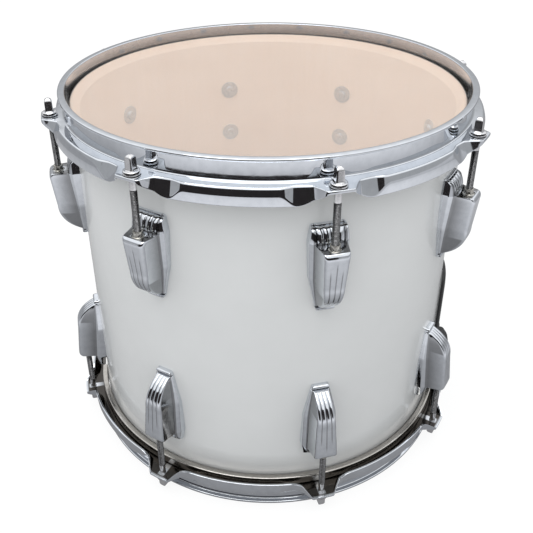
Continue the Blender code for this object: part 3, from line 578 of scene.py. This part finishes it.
hoop_points = np.stack([r * np.sin(azimuths)[:, None], -r * np.cos(azimuths)[:, None], z], -1)
corner_number = np.arange(outline.shape[1]) // CORNER_STEPS
# Painted shade: the inner side under the ledge and the flange's inner edge are darkened.
inner_painted_shade = np.isin(corner_number, (9, 10, 11)) + 0.5 * (corner_number == 8) + 0 * r
hoop_faces = grid_quads(*hoop_points.shape[:2], ring_rows=True)
hoop_mesh = make_mesh("hoop", hoop_points, hoop_faces, 45, inner_painted_shade)
drill, drill_faces = bore(3.1, -24, -16, 24)
drills = [(turned_to(drill + [0, -ROD_CIRCLE, 0], ear * EAR_STEP), drill_faces) for ear in range(EARS)]
hoop_mesh = combine(hoop_mesh, make_mesh("ear_drills", *join_grids(drills)))
for end in ENDS:
    mesh = copy_to(hoop_mesh, end + "_hoop_pressed", 0, end)
    dress(end + "_pressed_hoop", mesh, CHROME, end + "_hoop", "hoop_chrome", end + "_hoop")
print("hoop", len(hoop_mesh.vertices), "points")

# %% [markdown]
# A tension rod is a long screw with a square head for the drummer's key. Under the head sits a
# round collar, under that a loose washer, and below the hoop's ear a smooth shank runs into the
# thread. The head is a turning whose circle has been pressed towards a square; the thread is a
# grid whose radius dips along a helix, so the crest climbs one pitch in each turn.

# %% Squares and threads
ROD_RADIUS, ROD_SIDES = 2.9, 24
PITCH, THREAD_DEPTH = 25.4 / 24, 0.45


def squared(profile, power, sides):
    """Turning whose circles become squares: x = r cos a (|cos a|^n + |sin a|^n)^(-1/n), y alike.

    The power n is 2 for a circle and grows towards a square; each row of the profile has its own.
    """
    profile, power = np.asarray(profile, float), np.asarray(power, float)[:, None]
    a = np.linspace(0, 2 * np.pi, sides, endpoint=False) + np.pi / 4
    c, s = np.cos(a), np.sin(a)
    scale = (np.abs(c) ** power + np.abs(s) ** power) ** (-1 / power)
    r, z = profile[:, :1], profile[:, 1:]
    return np.stack([r * scale * c, r * scale * s, z + 0 * a], -1), grid_quads(len(profile), sides)


def threaded(high, low, rows_per_turn=8):
    """Rows down a rod: r = R - d (1/2 - 1/2 cos(2 pi z/p - a)), the dip fading at both ends."""
    rows = int(round((high - low) / PITCH * rows_per_turn)) + 1
    z = np.linspace(high, low, rows)[:, None]
    a = np.linspace(0, 2 * np.pi, ROD_SIDES, endpoint=False)
    fade = np.minimum(smooth_step((high - z) / PITCH), smooth_step((z - low) / PITCH))
    r = ROD_RADIUS - THREAD_DEPTH * fade * (0.5 - 0.5 * np.cos(2 * np.pi * z / PITCH - a))
    return np.stack([r * np.sin(a), -r * np.cos(a), z + 0 * a], -1)


print("thread", round(PITCH, 3), "mm a turn")

# %% [markdown]
# Heights count from the washer's seat on the ear. The groove under the collar and the washer's
# inner part lie in shade, and that shade is painted into their colour.

# %% Tension rods
HEAD_TOP, COLLAR_TOP, WASHER_TOP = 14.8, 3.0, 1.4
THREAD_HIGH, THREAD_LOW, ROD_END, SEAT_DEPTH = -13.0, -50.6, -65.3, -18.7
RING_SIDES = 48
half_key = 6.35 / 2
key_rows = [
    (0.0, HEAD_TOP), (half_key * 0.40, HEAD_TOP - 0.05), (half_key - 1.4, HEAD_TOP - 0.4),
    (half_key - 0.7, HEAD_TOP - 1.1), (half_key - 0.2, HEAD_TOP - 2.2), (half_key, HEAD_TOP - 3.2),
    (half_key + 0.12, COLLAR_TOP + 1.6), (half_key + 0.35, COLLAR_TOP + 0.6), (half_key + 0.9, COLLAR_TOP),
]
key_powers = [2.5, 4, 7, 9, 12, 14, 14, 9, 4]
collar_rows = [
    (3.0, COLLAR_TOP - 0.02), (5.6, COLLAR_TOP - 0.02), (6.1, COLLAR_TOP - 0.12), (6.4, COLLAR_TOP - 0.4),
    (6.3, COLLAR_TOP - 0.7), (5.9, COLLAR_TOP - 0.9), (4.8, COLLAR_TOP - 1.0), (4.6, WASHER_TOP + 0.3),
    (4.8, WASHER_TOP + 0.02), (ROD_RADIUS + 0.4, WASHER_TOP + 0.02), (ROD_RADIUS, WASHER_TOP - 0.3),
    (ROD_RADIUS, THREAD_HIGH),
]
tail_rows = [
    (ROD_RADIUS, THREAD_LOW), (ROD_RADIUS, ROD_END + 0.8), (ROD_RADIUS - 0.7, ROD_END), (0, ROD_END),
]
key = squared(key_rows, key_powers, RING_SIDES)
collar = turned(collar_rows, ROD_SIDES)
thread = threaded(THREAD_HIGH, THREAD_LOW)
thread_grid = (thread, grid_quads(*thread.shape[:2]))
tail = turned(tail_rows, ROD_SIDES)
washer_ring = eased_outline([(3.0, 0.02), (6.9, 0.02), (6.9, 1.3), (3.0, 1.3)], (0.2, 0.35, 0.35, 0.2), 3)
rod_place = np.array([0, -ROD_CIRCLE, SEAT_DEPTH])


def rod_part(name, grids, painted_shade=None):
    """One mesh of several grids, moved onto the rod's line at azimuth 0."""
    points, faces = join_grids(grids)
    return make_mesh(name, points + rod_place, faces, 32, painted_shade)


# Painted shade under the collar and on the washer's inner part.
neck_painted_shade = np.repeat([0, 0, 0, 0, 0.3, 1, 1, 1, 1, 1, 0.5, 0], ROD_SIDES)
head_shade = np.concatenate([np.zeros(len(key_rows) * RING_SIDES), neck_painted_shade])
washer = turned(washer_ring, RING_SIDES, closed=True)
washer_shade = np.repeat([1, 1, 1, 1, 0.8, 0.4, 0, 0, 0, 0, 0, 0], RING_SIDES)
RODS = {
    "{end}_rod_key_and_collar_{ear}": (rod_part("key", [key, collar], head_shade), BRIGHT_STEEL),
    "{end}_rod_thread_{ear}": (rod_part("thread", [thread_grid, tail]), THREAD_STEEL),
    "{end}_rod_washer_{ear}": (rod_part("washer", [washer], washer_shade), BRIGHT_STEEL),
}
dress_ears(RODS, "{end}_rod_{ear}", "rod_steel", "{end}_tension_rod_{ear}")
print("rods", 2 * EARS, "of", sum(len(mesh.vertices) for mesh, _ in RODS.values()), "points each")

# %% [markdown]
# The nut that a rod runs into hangs loosely in its lug. Its small round nose stands up through
# the lug's shelf, and a wider body below keeps it from being pulled out. It stands a little
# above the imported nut, as the photograph shows it.

# %% Swivel nuts
NUT_LIFT = 2.2
nut_outline = eased_outline(
    [(2.95, -68.6), (4.1, -68.6), (4.1, -73.2), (5.1, -73.4), (5.1, -82.2), (2.95, -82.2)],
    (0.3, 0.7, 0.3, 0.5, 0.6, 0.3), 4,
) + [0, NUT_LIFT]
nut_points, nut_faces = turned(nut_outline, 32, closed=True)
nut_mesh = make_mesh("nut", nut_points + [0, -ROD_CIRCLE, 0], nut_faces)
dress_ears({"{end}_nut_{ear}": (nut_mesh, BRASS)}, "root", "nut_brass", "{end}_swivel_nut_{ear}")
print("nut", len(nut_mesh.vertices), "points")

# %% [markdown]
# The lug is the casting that a rod pulls on, and the form that takes most skill here. Seen
# from the side it starts with a thin lip on the shell and climbs a short ramp, a quarter of an
# ellipse, to the foot of a flat shelf. From the shelf's rounded edge the crown runs on with
# hardly any fall and then drops on a long curve to a thin plate with a rolled tip. Across, each
# section is a stepped hill: a plate with an upright edge, a hollow root, and a body with a
# narrower front. The ramp and the drop carry four finger ribs side by side, round on top with
# sharp valleys between, and three of the valleys run on up the crown as fine lines.
#
# So a lug is one loft. Its sizes at each station come from short tables, and every section has
# the same number of points, from one edge of the plate to the other and back under it. The
# stations count from the shelf towards the drum's middle. Last, the ramp is drawn out a little
# towards the hoop, as far as the photograph shows it.

# %% Lug stations
SHELF, TIP_LIFT = 71.0, 2.6
LIP_END, RAMP_END, CROWN_END, DROP_END, TIP_END = -11.2, -9.9, 33.0, 60.4, 65.2
ramp = RAMP_END * np.cos(np.linspace(0, np.pi / 2, 14))
ramp_crown = 2.9 + 7.3 * np.sqrt(1 - (ramp / RAMP_END) ** 2)
edge_turn = np.linspace(0, np.pi / 2, 8)
edge_along, edge_crown = 4.2 * (1 - np.cos(edge_turn)), 23.2 + 3.4 * np.sin(edge_turn)
crown_along = np.linspace(6, CROWN_END, 14)
drop_share = 1 - (1 - np.linspace(0, 1, 26)[1:]) ** 1.5
drop_along = CROWN_END + (DROP_END - CROWN_END) * drop_share
drop_crown = 4.3 + 19.4 * (1 - drop_share**2.4) ** 0.81
lip = np.array([(LIP_END, 0.02), (LIP_END, 1.9), (-11.1, 2.5), (-10.8, 2.85), (-10.4, 2.8), (-10.15, 2.4)])
tail_end = np.array([
    (60.6, 3.4), (60.8, 2.6), (61.0, 2.1), (61.5, 1.9), (61.75, 2.1), (61.85, 2.8), (61.95, 3.6),
    (62.3, 4.2), (62.9, 4.6), (63.6, 4.7), (64.3, 4.4), (64.8, 3.8), (65.1, 3.0),
    (TIP_END, 1.8), (TIP_END, 0.02),
])
along = np.concatenate([lip[:, 0], ramp, edge_along, crown_along, drop_along, tail_end[:, 0]])
crown = np.concatenate([
    lip[:, 1], ramp_crown, edge_crown, np.interp(crown_along, (4.2, CROWN_END), (26.6, 23.7)),
    drop_crown, tail_end[:, 1],
])


def at_stations(*values):
    """A size at every station, straight between its values at the lip, shelf, crown's end and tip."""
    return np.interp(along, (LIP_END, 0.0, CROWN_END, TIP_END), values)


def swell_between(low, low_full, high_full, high):
    """0 outside low to high, 1 between the full places, smooth in between."""
    return smooth_step((along - low) / (low_full - low)) * smooth_step((high - along) / (high - high_full))


END_ROUND = 1.6
from_end = np.minimum(along - LIP_END, TIP_END - along)
end_pull = END_ROUND * (1 - np.sqrt(1 - np.clip(1 - from_end / END_ROUND, 0, 1) ** 2))
half_plate = at_stations(13.8, 16.2, 14.7, 7.5) - end_pull
half_root = np.minimum(at_stations(11.8, 12.6, 11.0, 6.9), half_plate - 0.3)
half_front = np.minimum(at_stations(11.1, 10.5, 8.9, 6.3), half_root - 0.3)
in_tip = along > 61.8
half_root = np.where(in_tip, half_plate - 0.15, half_root)
half_front = np.where(in_tip, half_plate - 0.3, half_front)
plate_top = np.minimum(np.interp(along, (0, DROP_END, TIP_END), (10.2, 4.1, 3.0)), crown - 0.5)
plate_edge = np.minimum(np.interp(along, (0, DROP_END), (6.6, 2.8)), crown - 1.0)
plate_top, plate_edge = np.maximum(plate_top, 0.02), np.maximum(plate_edge, 0.02)
edge_round = np.interp(along, (0, 4, CROWN_END, 50, 60, 61), (2.0, 2.8, 2.6, 1.8, 1.0, 0.3))
edge_round = np.minimum(np.where(along < 0, 0.9, edge_round), np.maximum(crown - plate_top, 0.0))
rib = 1.15 * swell_between(-10.3, -9.2, -1.5, 8) * (along < 0) + 1.25 * swell_between(36, 49, 57.5, 61.2)
line = 0.30 * swell_between(5, 12, 44, 52)
lift = TIP_LIFT * np.interp(-along, (0, -RAMP_END), (0, 1))
# Painted shade in the groove before the rolled tip.
tip_groove_painted_shade = smooth_step((along - 60.6) / 0.3) * smooth_step((62.0 - along) / 0.15)
print("lug stations", len(along))

# %% [markdown]
# Across the front the points lie on a cosine within each rib, so they crowd at the valleys
# and at the rounded edges, where the form turns fastest. The valleys, the lines, the shelf, the
# groove before the rolled tip and the sides face something dark, so their colour is darkened with painted
# shade.

# %% Lug section
RIBS, LINE_WIDTH = 4, 0.34
# Shares of painted shade on the shelf, the sides and the rib valleys.
SHELF_SHADE, SIDE_SHADE, VALLEY_SHADE = 0.75, 0.6, 0.55
rib_turn = np.append(np.tile(np.linspace(0, np.pi, 9)[:8], RIBS), np.pi)
rib_number = np.minimum(np.arange(len(rib_turn)) // 8, RIBS - 1)
across = (2 * rib_number + 1 - np.cos(rib_turn)) / RIBS - 1
in_rib = np.sin(rib_turn)
valleys = np.array([-0.5, 0.0, 0.5])


def lug_front():
    """Front of each section: x = f u; height = crown - edge round - rib (1 - arch) - lines.

    The edge round is a quarter circle over the last stretch of x. The arch is the half circle
    of its rib. A line is a narrow bell along each valley and starts later beside the middle one.
    """
    x = half_front[:, None] * across
    reach = np.maximum(edge_round, 1e-6)[:, None]
    past = np.clip((np.abs(x) - (half_front[:, None] - reach)) / reach, 0, 1)
    h = crown[:, None] - edge_round[:, None] * (1 - np.sqrt(1 - past**2))
    h = h - rib[:, None] * (1 - in_rib)
    bell = np.exp(-(((x[..., None] - half_front[:, None, None] * valleys) / LINE_WIDTH) ** 2))
    later = smooth_step((along[:, None] - np.array([14.0, 6.0, 14.0])) / 8)
    lines = line[:, None] * (bell * later[:, None, :]).sum(-1)
    valley_painted_shade = VALLEY_SHADE * (rib[:, None] > 0.4) * (1 - in_rib) ** 2
    flat = SHELF_SHADE * (np.abs(along[:, None]) < 1e-6)
    # The third value is painted shade: the lines are cut in and also darkened, as are the valleys, the tip
    # groove and the shelf.
    return x, h - lines, np.clip(2 * lines + valley_painted_shade + tip_groove_painted_shade[:, None] + flat, 0, 1)


def lug_side():
    """Half of the side: from the front's edge down to the root, out to the plate's edge, down."""
    front_low = np.stack([half_front, np.maximum(crown - edge_round - rib, plate_top)], -1)
    root = np.stack([half_root, plate_top], -1)
    rim = np.stack([half_plate, plate_edge], -1)
    foot = np.stack([half_plate, 0.02 + 0 * half_plate], -1)
    hollow = ease(front_low, root, rim, 1.5 + 0 * crown, 6)
    corner = ease(root, rim, foot, 0.7 + 0 * crown, 5)
    runs = np.concatenate([hollow, corner, foot[:, None, :]], 1)
    return runs[..., 0], runs[..., 1]


front_x, front_h, lug_painted_shade = lug_front()
side_x, side_h = lug_side()
x = np.concatenate([-side_x[:, ::-1], front_x, side_x], 1)
h = np.maximum(np.concatenate([side_h[:, ::-1], front_h, side_h], 1), 0.02)
# Painted shade on the sides next to the front.
side_shade = SIDE_SHADE * (np.arange(side_x.shape[1]) < 5) + 0 * side_x
lug_painted_shade = np.concatenate([side_shade[:, ::-1], lug_painted_shade, side_shade], 1)
x = np.concatenate([x, x[:, ::-1]], 1)
h = np.concatenate([h, 0 * h + 0.02], 1)
lug_painted_shade = np.concatenate([lug_painted_shade, 0 * lug_painted_shade], 1)
z = -(SHELF + along - lift)[:, None] + 0 * x
lug_points = np.stack([x, -(np.sqrt(outer**2 - x**2) + h), z], -1)
lug_mesh = make_mesh("lug", lug_points, grid_quads(*lug_points.shape[:2]), 33, lug_painted_shade)
well = bore(5.4, 5 - SHELF, -86, 32)
lug_mesh = combine(lug_mesh, make_mesh("well", well[0] + [0, -ROD_CIRCLE, 0], well[1]))
dress_ears({"{end}_cast_lug_{ear}": (lug_mesh, LUG_CHROME)}, "root", "lug_chrome", "{end}_lug_{ear}")
print("lug", len(lug_mesh.vertices), "points")

# %% [markdown]
# Each lug is held by two screws from inside the shell, each with a broad washer. Through the
# clear head they show as grey discs on the wood. A screw is a turning laid along a radius.

# %% Lug screws with their washers
LUG_SCREW_SPACING = 51.4
screw_rows = [
    (0, inner - 3.9), (1.2, inner - 3.9), (1.5, inner - 4.6), (3.4, inner - 4.7), (4.4, inner - 4.2),
    (4.6, inner - 3.4), (4.6, inner - 1.55), (9.0, inner - 1.55), (9.45, inner - 1.4), (9.5, inner - 0.9),
    (9.4, inner - 0.2), (9.0, inner - 0.02), (2.2, inner - 0.02), (2.2, outer + 3.5), (0, outer + 3.5),
]
screw, screw_faces = turned(screw_rows, 40)
pairs = [(outward(screw, 0, -depth), screw_faces) for depth in (SHELF, SHELF + LUG_SCREW_SPACING)]
screw_mesh = make_mesh("lug_screws", *join_grids(pairs), 32)
dress_ears({"{end}_lug_screws_{ear}": (screw_mesh, ZINC)}, "root", "zinc_steel", "{end}_lug_{ear}")
print("lug screws", len(screw_mesh.vertices), "points a pair")

# %% [markdown]
# The mounting bracket is a black casting on a thin rubber pad. Only a sliver of it shows in
# the photograph, so its form follows common brackets: a curved plate with an arched top, and at
# its foot a block with a round bore for a stand's arm, a pressure shoe and a wing screw. The
# plate is a grid over the wall: at each height it has a half width and a rise.

# %% Bracket plate and its pad
BRACKET_AZIMUTH = 67.5
BRACKET_TOP, BRACKET_FOOT = 161.0, 41.0
TOP_ROUND, FOOT_ROUND = 16.0, 8.0


def bracket_outline():
    """Heights up the bracket, its half width there, and 1 at full rise to 0 at both ends."""
    t = np.linspace(0, np.pi / 2, 14)
    foot = BRACKET_FOOT + FOOT_ROUND * (1 - np.cos(t))
    top = BRACKET_TOP - TOP_ROUND * (1 - np.cos(t[::-1]))
    z = np.concatenate([foot, np.linspace(foot[-1], top[0], 34)[1:-1], top])
    low = np.clip((BRACKET_FOOT + FOOT_ROUND - z) / FOOT_ROUND, 0, 1)
    high = np.clip((z - (BRACKET_TOP - TOP_ROUND)) / TOP_ROUND, 0, 1)
    low, high = np.sqrt(1 - low**2), np.sqrt(1 - high**2)
    half = np.minimum(15.5 + 9.5 * low, 12.5 + 12.5 * high)
    return z, half, np.minimum(low, high)


def bracket_plate(low, edge, high, steps=24):
    """Closed grid of a plate on the wall, from low over it to high, thinner at its edge.

    Rise: edge + (high - edge) (1 - |u|^6)^(1/2), times a little less near both ends.
    """
    z, half, share = bracket_outline()
    u = np.sin(np.linspace(-np.pi / 2, np.pi / 2, steps + 1))
    x = half[:, None] * u
    arch = np.sqrt(np.clip(1 - np.abs(u) ** 6, 0, 1))
    rise = edge + (high - edge) * arch * (0.62 + 0.38 * share[:, None])
    radius = np.concatenate([outer + rise, outer + low + 0 * rise], 1)
    x = np.concatenate([x, x[:, ::-1]], 1)
    rows = np.stack([x, -np.sqrt(radius**2 - x**2), z[:, None] + 0 * x], -1)
    caps = rows[[0, -1]]
    caps[:, : steps + 1] = caps[:, steps + 1 :][:, ::-1]
    rows = np.concatenate([caps[:1], rows, caps[1:]])
    return rows, grid_quads(*rows.shape[:2])


pad_points, pad_faces = bracket_plate(0.02, 1.1, 1.2)
pad_mesh = make_mesh("pad", turned_to(pad_points, BRACKET_AZIMUTH), pad_faces)
dress("bracket_pad", pad_mesh, RUBBER, "root", "gasket_rubber", "bracket_gasket")
print("pad", len(pad_mesh.vertices), "points")

# %% [markdown]
# The block is joined to the plate's foot, and two bores are cut: one down through it for the
# stand's arm, one from the side for the shoe and its screw. All of it is worked at the drum's
# front, and the finished casting is turned to its place.

# %% Bracket casting
BORE_OUT, ARM_BORE = 10.25, 5.0
CLAMP_Z = BRACKET_FOOT + 15.0


def upright_block(corners, reaches, low, high, ease_by=1.2, rounds=6):
    """Block whose plan is an eased outline, with eased upper and lower edges.

    Near an end the plan draws in by e (1 - sqrt(1 - t^2)), with t from 0 to 1 over the last e.
    """
    plan = eased_outline(corners, reaches, 6)
    core = plan.mean(0)
    half = np.abs(plan - core).max(0)
    turn = np.linspace(0, np.pi / 2, rounds)
    pull = ease_by * (1 - np.sin(turn))
    z = np.concatenate([low + ease_by * (1 - np.cos(turn)), high - ease_by * (1 - np.cos(turn[::-1]))])
    pull = np.concatenate([pull, pull[::-1]])
    z, pull = np.concatenate([[low], z, [high]]), np.concatenate([[half.max()], pull, [half.max()]])
    size = np.maximum(1 - pull[:, None] / half, 0)
    rows = core + (plan - core) * size[:, None, :]
    points = np.concatenate([rows, z[:, None, None] + 0 * rows[..., :1]], -1)
    return points, grid_quads(*points.shape[:2])


front_y = -(outer + BORE_OUT + 7.7)
block_corners = [(-8.8, -(outer + 2.5)), (-8.8, front_y), (7.0, front_y), (18.2, front_y + 4.0),
                 (18.2, -(outer + 2.5))]
block, block_faces = upright_block(block_corners, (0.5, 5.0, 4.0, 2.5, 0.5), BRACKET_FOOT + 0.3, 71.0)
plate, plate_faces = bracket_plate(1.5, 2.6, 5.2)
casting = make_mesh("plate", plate, plate_faces)
casting = combine(casting, make_mesh("block", block, block_faces), "UNION")
arm, arm_faces = bore(ARM_BORE, BRACKET_FOOT - 5, 76, 48)
casting = combine(casting, make_mesh("arm_bore", arm + [0, -(outer + BORE_OUT), 0], arm_faces))


def along_x(points):
    """A turning about Z laid along +X through the bore's middle, where the clamp works."""
    x, y, z = np.moveaxis(np.asarray(points, float), -1, 0)
    return np.stack([z, x - (outer + BORE_OUT), CLAMP_Z + y], -1)


pocket, pocket_faces = turned([(0, 0), (4.3, 0), (4.3, 12.6), (3.2, 12.6), (3.2, 22), (0, 22)], 40)
casting = combine(casting, make_mesh("pocket", along_x(pocket), pocket_faces))
move_points(casting, lambda points: turned_to(points, BRACKET_AZIMUTH))
dress("bracket_casting", casting, BLACK, "root", "black_casting", "mount_bracket")
swing = math.degrees(16.5 / outer)
short_screw = turned(screw_rows[:-2] + [(2.2, outer + 3.4), (0, outer + 3.4)], 40)[0]
screws = [
    (outward(short_screw, BRACKET_AZIMUTH + side * swing, height), screw_faces)
    for side in (-1, 1) for height in (147.0, 103.0)
]
bracket_screws = make_mesh("bracket_screws", *join_grids(screws), 32)
dress("bracket_inside_screws", bracket_screws, ZINC, "root", "black_casting", "mount_bracket")
print("bracket", len(casting.vertices), "points")

# %% [markdown]
# The clamp is a small steel shoe that bears on the arm and a wing screw that pushes it. The
# wings are one bow-tie of thick sheet with a rounded edge, grown out of a conical hub.

# %% Clamp shoe and wing screw


def on_clamp(points):
    """A turning about Z laid along the clamp's line on the finished bracket."""
    return turned_to(along_x(points), BRACKET_AZIMUTH)


shoe_outline = [(0, 5.3), (3.2, 5.3), (3.9, 5.7), (4.0, 6.2), (4.0, 7.9), (3.7, 8.25), (3.0, 8.3), (0, 8.3)]
shoe_points, shoe_faces = turned(shoe_outline, 40)
shoe_mesh = make_mesh("shoe", on_clamp(shoe_points), shoe_faces)
dress("clamp_pressure_shoe", shoe_mesh, ZINC, "clamp_shoe", "zinc_steel", "clamp_shoe")
HUB_LOW = 19.4
hub_rows = [
    (0, 8.6), (2.6, 8.6), (2.9, 8.9), (2.9, HUB_LOW), (4.3, HUB_LOW), (4.8, HUB_LOW + 0.5),
    (4.6, HUB_LOW + 2), (3.9, HUB_LOW + 6.2), (3.3, HUB_LOW + 6.8), (2, HUB_LOW + 7), (0, HUB_LOW + 7),
]
hub = make_mesh("hub", *turned(hub_rows, 40))
wing_turn = np.radians(np.linspace(-60, 130, 22))
wing_tip = np.stack([7.3 + 4.2 * np.cos(wing_turn), HUB_LOW + 8.8 + 4.2 * np.sin(wing_turn)], -1)
wing_plan = np.concatenate([wing_tip, [[1.0, HUB_LOW + 5.8], [0.2, HUB_LOW + 3.5], [1.0, HUB_LOW + 1.2]]])
layers = np.sin(np.linspace(-np.pi / 2, np.pi / 2, 9))
core = wing_plan.mean(0)
shrink = 1 - 0.16 * (1 - np.sqrt(np.clip(1 - np.abs(layers) ** 2.5, 0, 1)))
shrink = np.concatenate([[0.0], shrink, [0.0]])
layers = np.concatenate([[-1.0], layers, [1.0]])
wing_rows = core + (wing_plan - core) * shrink[:, None, None]
for side in (1, -1):
    thick = 1.5 * layers[:, None] + 0 * wing_rows[..., 0]
    wing = np.stack([thick, side * wing_rows[..., 0], wing_rows[..., 1]], -1)
    hub = combine(hub, make_mesh("wing", wing, grid_quads(*wing.shape[:2])), "UNION")
move_points(hub, on_clamp)
dress("clamp_wings", hub, BLACK, "clamp_screw", "black_casting", "clamp_wing_screw")
print("wing screw", len(hub.vertices), "points")

# %% [markdown]
# The studio is a white sweep under one large soft lamp. What the camera sees of the room is
# plain white. Chrome only reads as chrome where it has something dark to set its highlights
# against, so mirror rays see a dim ring of floor near the drum that pales further out.

# %% Studio floor
FLOOR, FLOOR_Z = 12.0, -0.0005
floor_mesh = bpy.data.meshes.new("floor")
sides = ((-1, -1), (1, -1), (1, 1), (-1, 1))
floor_mesh.from_pydata([(x * FLOOR, y * FLOOR, FLOOR_Z) for x, y in sides], [], [(0, 1, 2, 3)])
floor = bpy.data.objects.new("floor", floor_mesh)
scene.collection.objects.link(floor)
floor_paint, floor_shader = start_material("floor_paint", Roughness=0.8)
tree = floor_paint.node_tree
ground = object_points(tree)
away = add_node(tree, "VectorMath", {0: ground}, operation="LENGTH").outputs["Value"]
mirrored_floor = colour_ramp(
    tree, away, (0.18, (0.34, 0.34, 0.35)), (0.40, (0.55, 0.55, 0.5665)), (0.62, (0.90, 0.90, 0.927)),
    (0.80, (0.85, 0.85, 0.8755)), (1.0, (0.55, 0.55, 0.57)),
)
to_back = spread(tree, add_node(tree, "SeparateXYZ", {0: ground}).outputs[1], -0.5, 0.1, 1.0, 0.60)
mirror_glow = add_node(tree, "Emission", {0: mirrored_floor, 1: to_back})
ray = add_node(tree, "LightPath")
pale = add_node(tree, "Mix", {0: ray.outputs["Is Camera Ray"]}, data_type="FLOAT")
pale.inputs[2].default_value, pale.inputs[3].default_value = 0.55, 0.8
tree.links.new(pale.outputs[0], floor_shader.inputs["Base Color"])
glow = add_node(tree, "Emission", Color=(1, 1, 1, 1), Strength=1.05)
lit = add_node(tree, "MixShader", {
    0: times(tree, ray.outputs["Is Camera Ray"], 0.85), 1: floor_shader.outputs[0], 2: glow.outputs[0],
})
both = add_node(tree, "MixShader", {
    0: times(tree, ray.outputs["Is Glossy Ray"], 0.9), 1: lit.outputs[0], 2: mirror_glow.outputs[0],
})
tree.links.new(both.outputs[0], tree.nodes["Material Output"].inputs[0])
floor_mesh.materials.append(floor_paint)
print("floor", 2 * FLOOR, "m wide")

# %% [markdown]
# The room is a little brighter on the left. Mirrors see a white ceiling that falls off to a
# dim wall, with a sharp step between the two.

# %% Studio light
world = bpy.data.worlds.new("studio")
scene.world = world
world.use_nodes = True
tree = world.node_tree
room = tree.nodes["Background"]
room.inputs["Color"].default_value = (0.96, 0.98, 1.0, 1)
gaze = add_node(tree, "SeparateXYZ", {0: add_node(tree, "TexCoord").outputs["Generated"]})
side_light = add_node(tree, "Math", {0: spread(tree, gaze.outputs[0], -1.0, 0.0, 1.35, 0.94),
                                    1: spread(tree, gaze.outputs[0], 0.0, 1.0, 0.0, 0.22)})
tree.links.new(side_light.outputs[0], room.inputs["Strength"])
rise = spread(tree, gaze.outputs[2], -0.2, 1.0, 0.0, 1.0)
ceiling = colour_ramp(
    tree, rise, (0.0, (0.40, 0.40, 0.41)), (0.16, (0.42, 0.4242, 0.4326)), (0.34, (0.40, 0.404, 0.412)),
    (0.43, (0.52, 0.5252, 0.5356)), (0.50, (0.90, 0.909, 0.927)), (0.58, (1.1, 1.111, 1.133)),
    (1.0, (1.15, 1.15, 1.15)),
)
mirrored = add_node(tree, "Background", {0: ceiling}, Strength=1.0)
seen = add_node(tree, "Background", Color=(1, 1, 1, 1), Strength=1.0)
ray = add_node(tree, "LightPath")
first = add_node(tree, "MixShader", {
    0: ray.outputs["Is Glossy Ray"], 1: room.outputs[0], 2: mirrored.outputs[0],
})
plain = add_node(tree, "Math", {0: ray.outputs["Is Camera Ray"], 1: ray.outputs["Is Transmission Ray"]},
                 operation="MAXIMUM")
mix = add_node(tree, "MixShader", {0: plain.outputs[0], 1: first.outputs[0], 2: seen.outputs[0]})
tree.links.new(mix.outputs[0], tree.nodes["World Output"].inputs[0])
lamp = bpy.data.lights.new("overhead", "AREA")
lamp.shape = "RECTANGLE"
lamp.size, lamp.size_y, lamp.energy = 1.8, 1.8, 20
overhead = bpy.data.objects.new("overhead", lamp)
overhead.location = (-0.3, -0.6, 2.2)
overhead.rotation_euler = (Vector((0, 0, 0.15)) - overhead.location).to_track_quat("-Z", "Y").to_euler()
scene.collection.objects.link(overhead)
scene.view_settings.view_transform = "Standard"
print("lamp", lamp.size, "m wide,", lamp.energy, "W")

# %% [markdown]
# A dark card curves round the camera. It stands for the photographer, who shows in the front of
# every chromed form as a black band. Only mirror rays see it, and it casts no shadow.

# %% Dark card
CARD_RADIUS, CARD_FOOT, CARD_HEIGHT = 850, 60, 480
card_turn = np.radians(np.linspace(-69, 14, 40))
card_foot = np.stack([
    CARD_RADIUS * np.sin(card_turn), -CARD_RADIUS * np.cos(card_turn), 0 * card_turn + CARD_FOOT,
], -1)
card_rows = np.stack([card_foot, card_foot + [0, 0, CARD_HEIGHT]])
card_mesh = make_mesh("card", card_rows, grid_quads(2, 40, ring_columns=False))
card = bpy.data.objects.new("dark_card", card_mesh)
scene.collection.objects.link(card)
card_paint, card_shader = start_material("card_paint", Roughness=0.9)
card_shader.inputs["Base Color"].default_value = (0.012, 0.008, 0.008, 1)
card_mesh.materials.append(card_paint)
for kind in ("camera", "diffuse", "transmission", "shadow", "volume_scatter"):
    setattr(card, "visible_" + kind, False)
print("card", CARD_HEIGHT, "mm high")

# %% [markdown]
# The camera stands where the photograph was taken from: the fit gave its place, the three
# directions of its frame and a lens of 48.7 mm, with a small shift for the photograph's crop.

# %% Camera
PLACE = Vector((-0.1644, -0.6204, 0.5590))
RIGHT = Vector((0.9721, -0.2342, -0.0127))
DOWN = Vector((-0.1306, -0.4955, -0.8587))
FORWARD = Vector((0.1948, 0.8364, -0.5123))
lens = bpy.data.cameras.new("camera")
lens.lens, lens.sensor_width = 48.70, 36.0
lens.shift_x, lens.shift_y = 0.0345, -0.0493
camera = bpy.data.objects.new("camera", lens)
turn = Matrix((RIGHT, -DOWN, -FORWARD)).transposed().to_4x4()
camera.matrix_world = Matrix.Translation(PLACE) @ turn
scene.collection.objects.link(camera)
scene.camera = camera
print("lens", lens.lens, "mm")
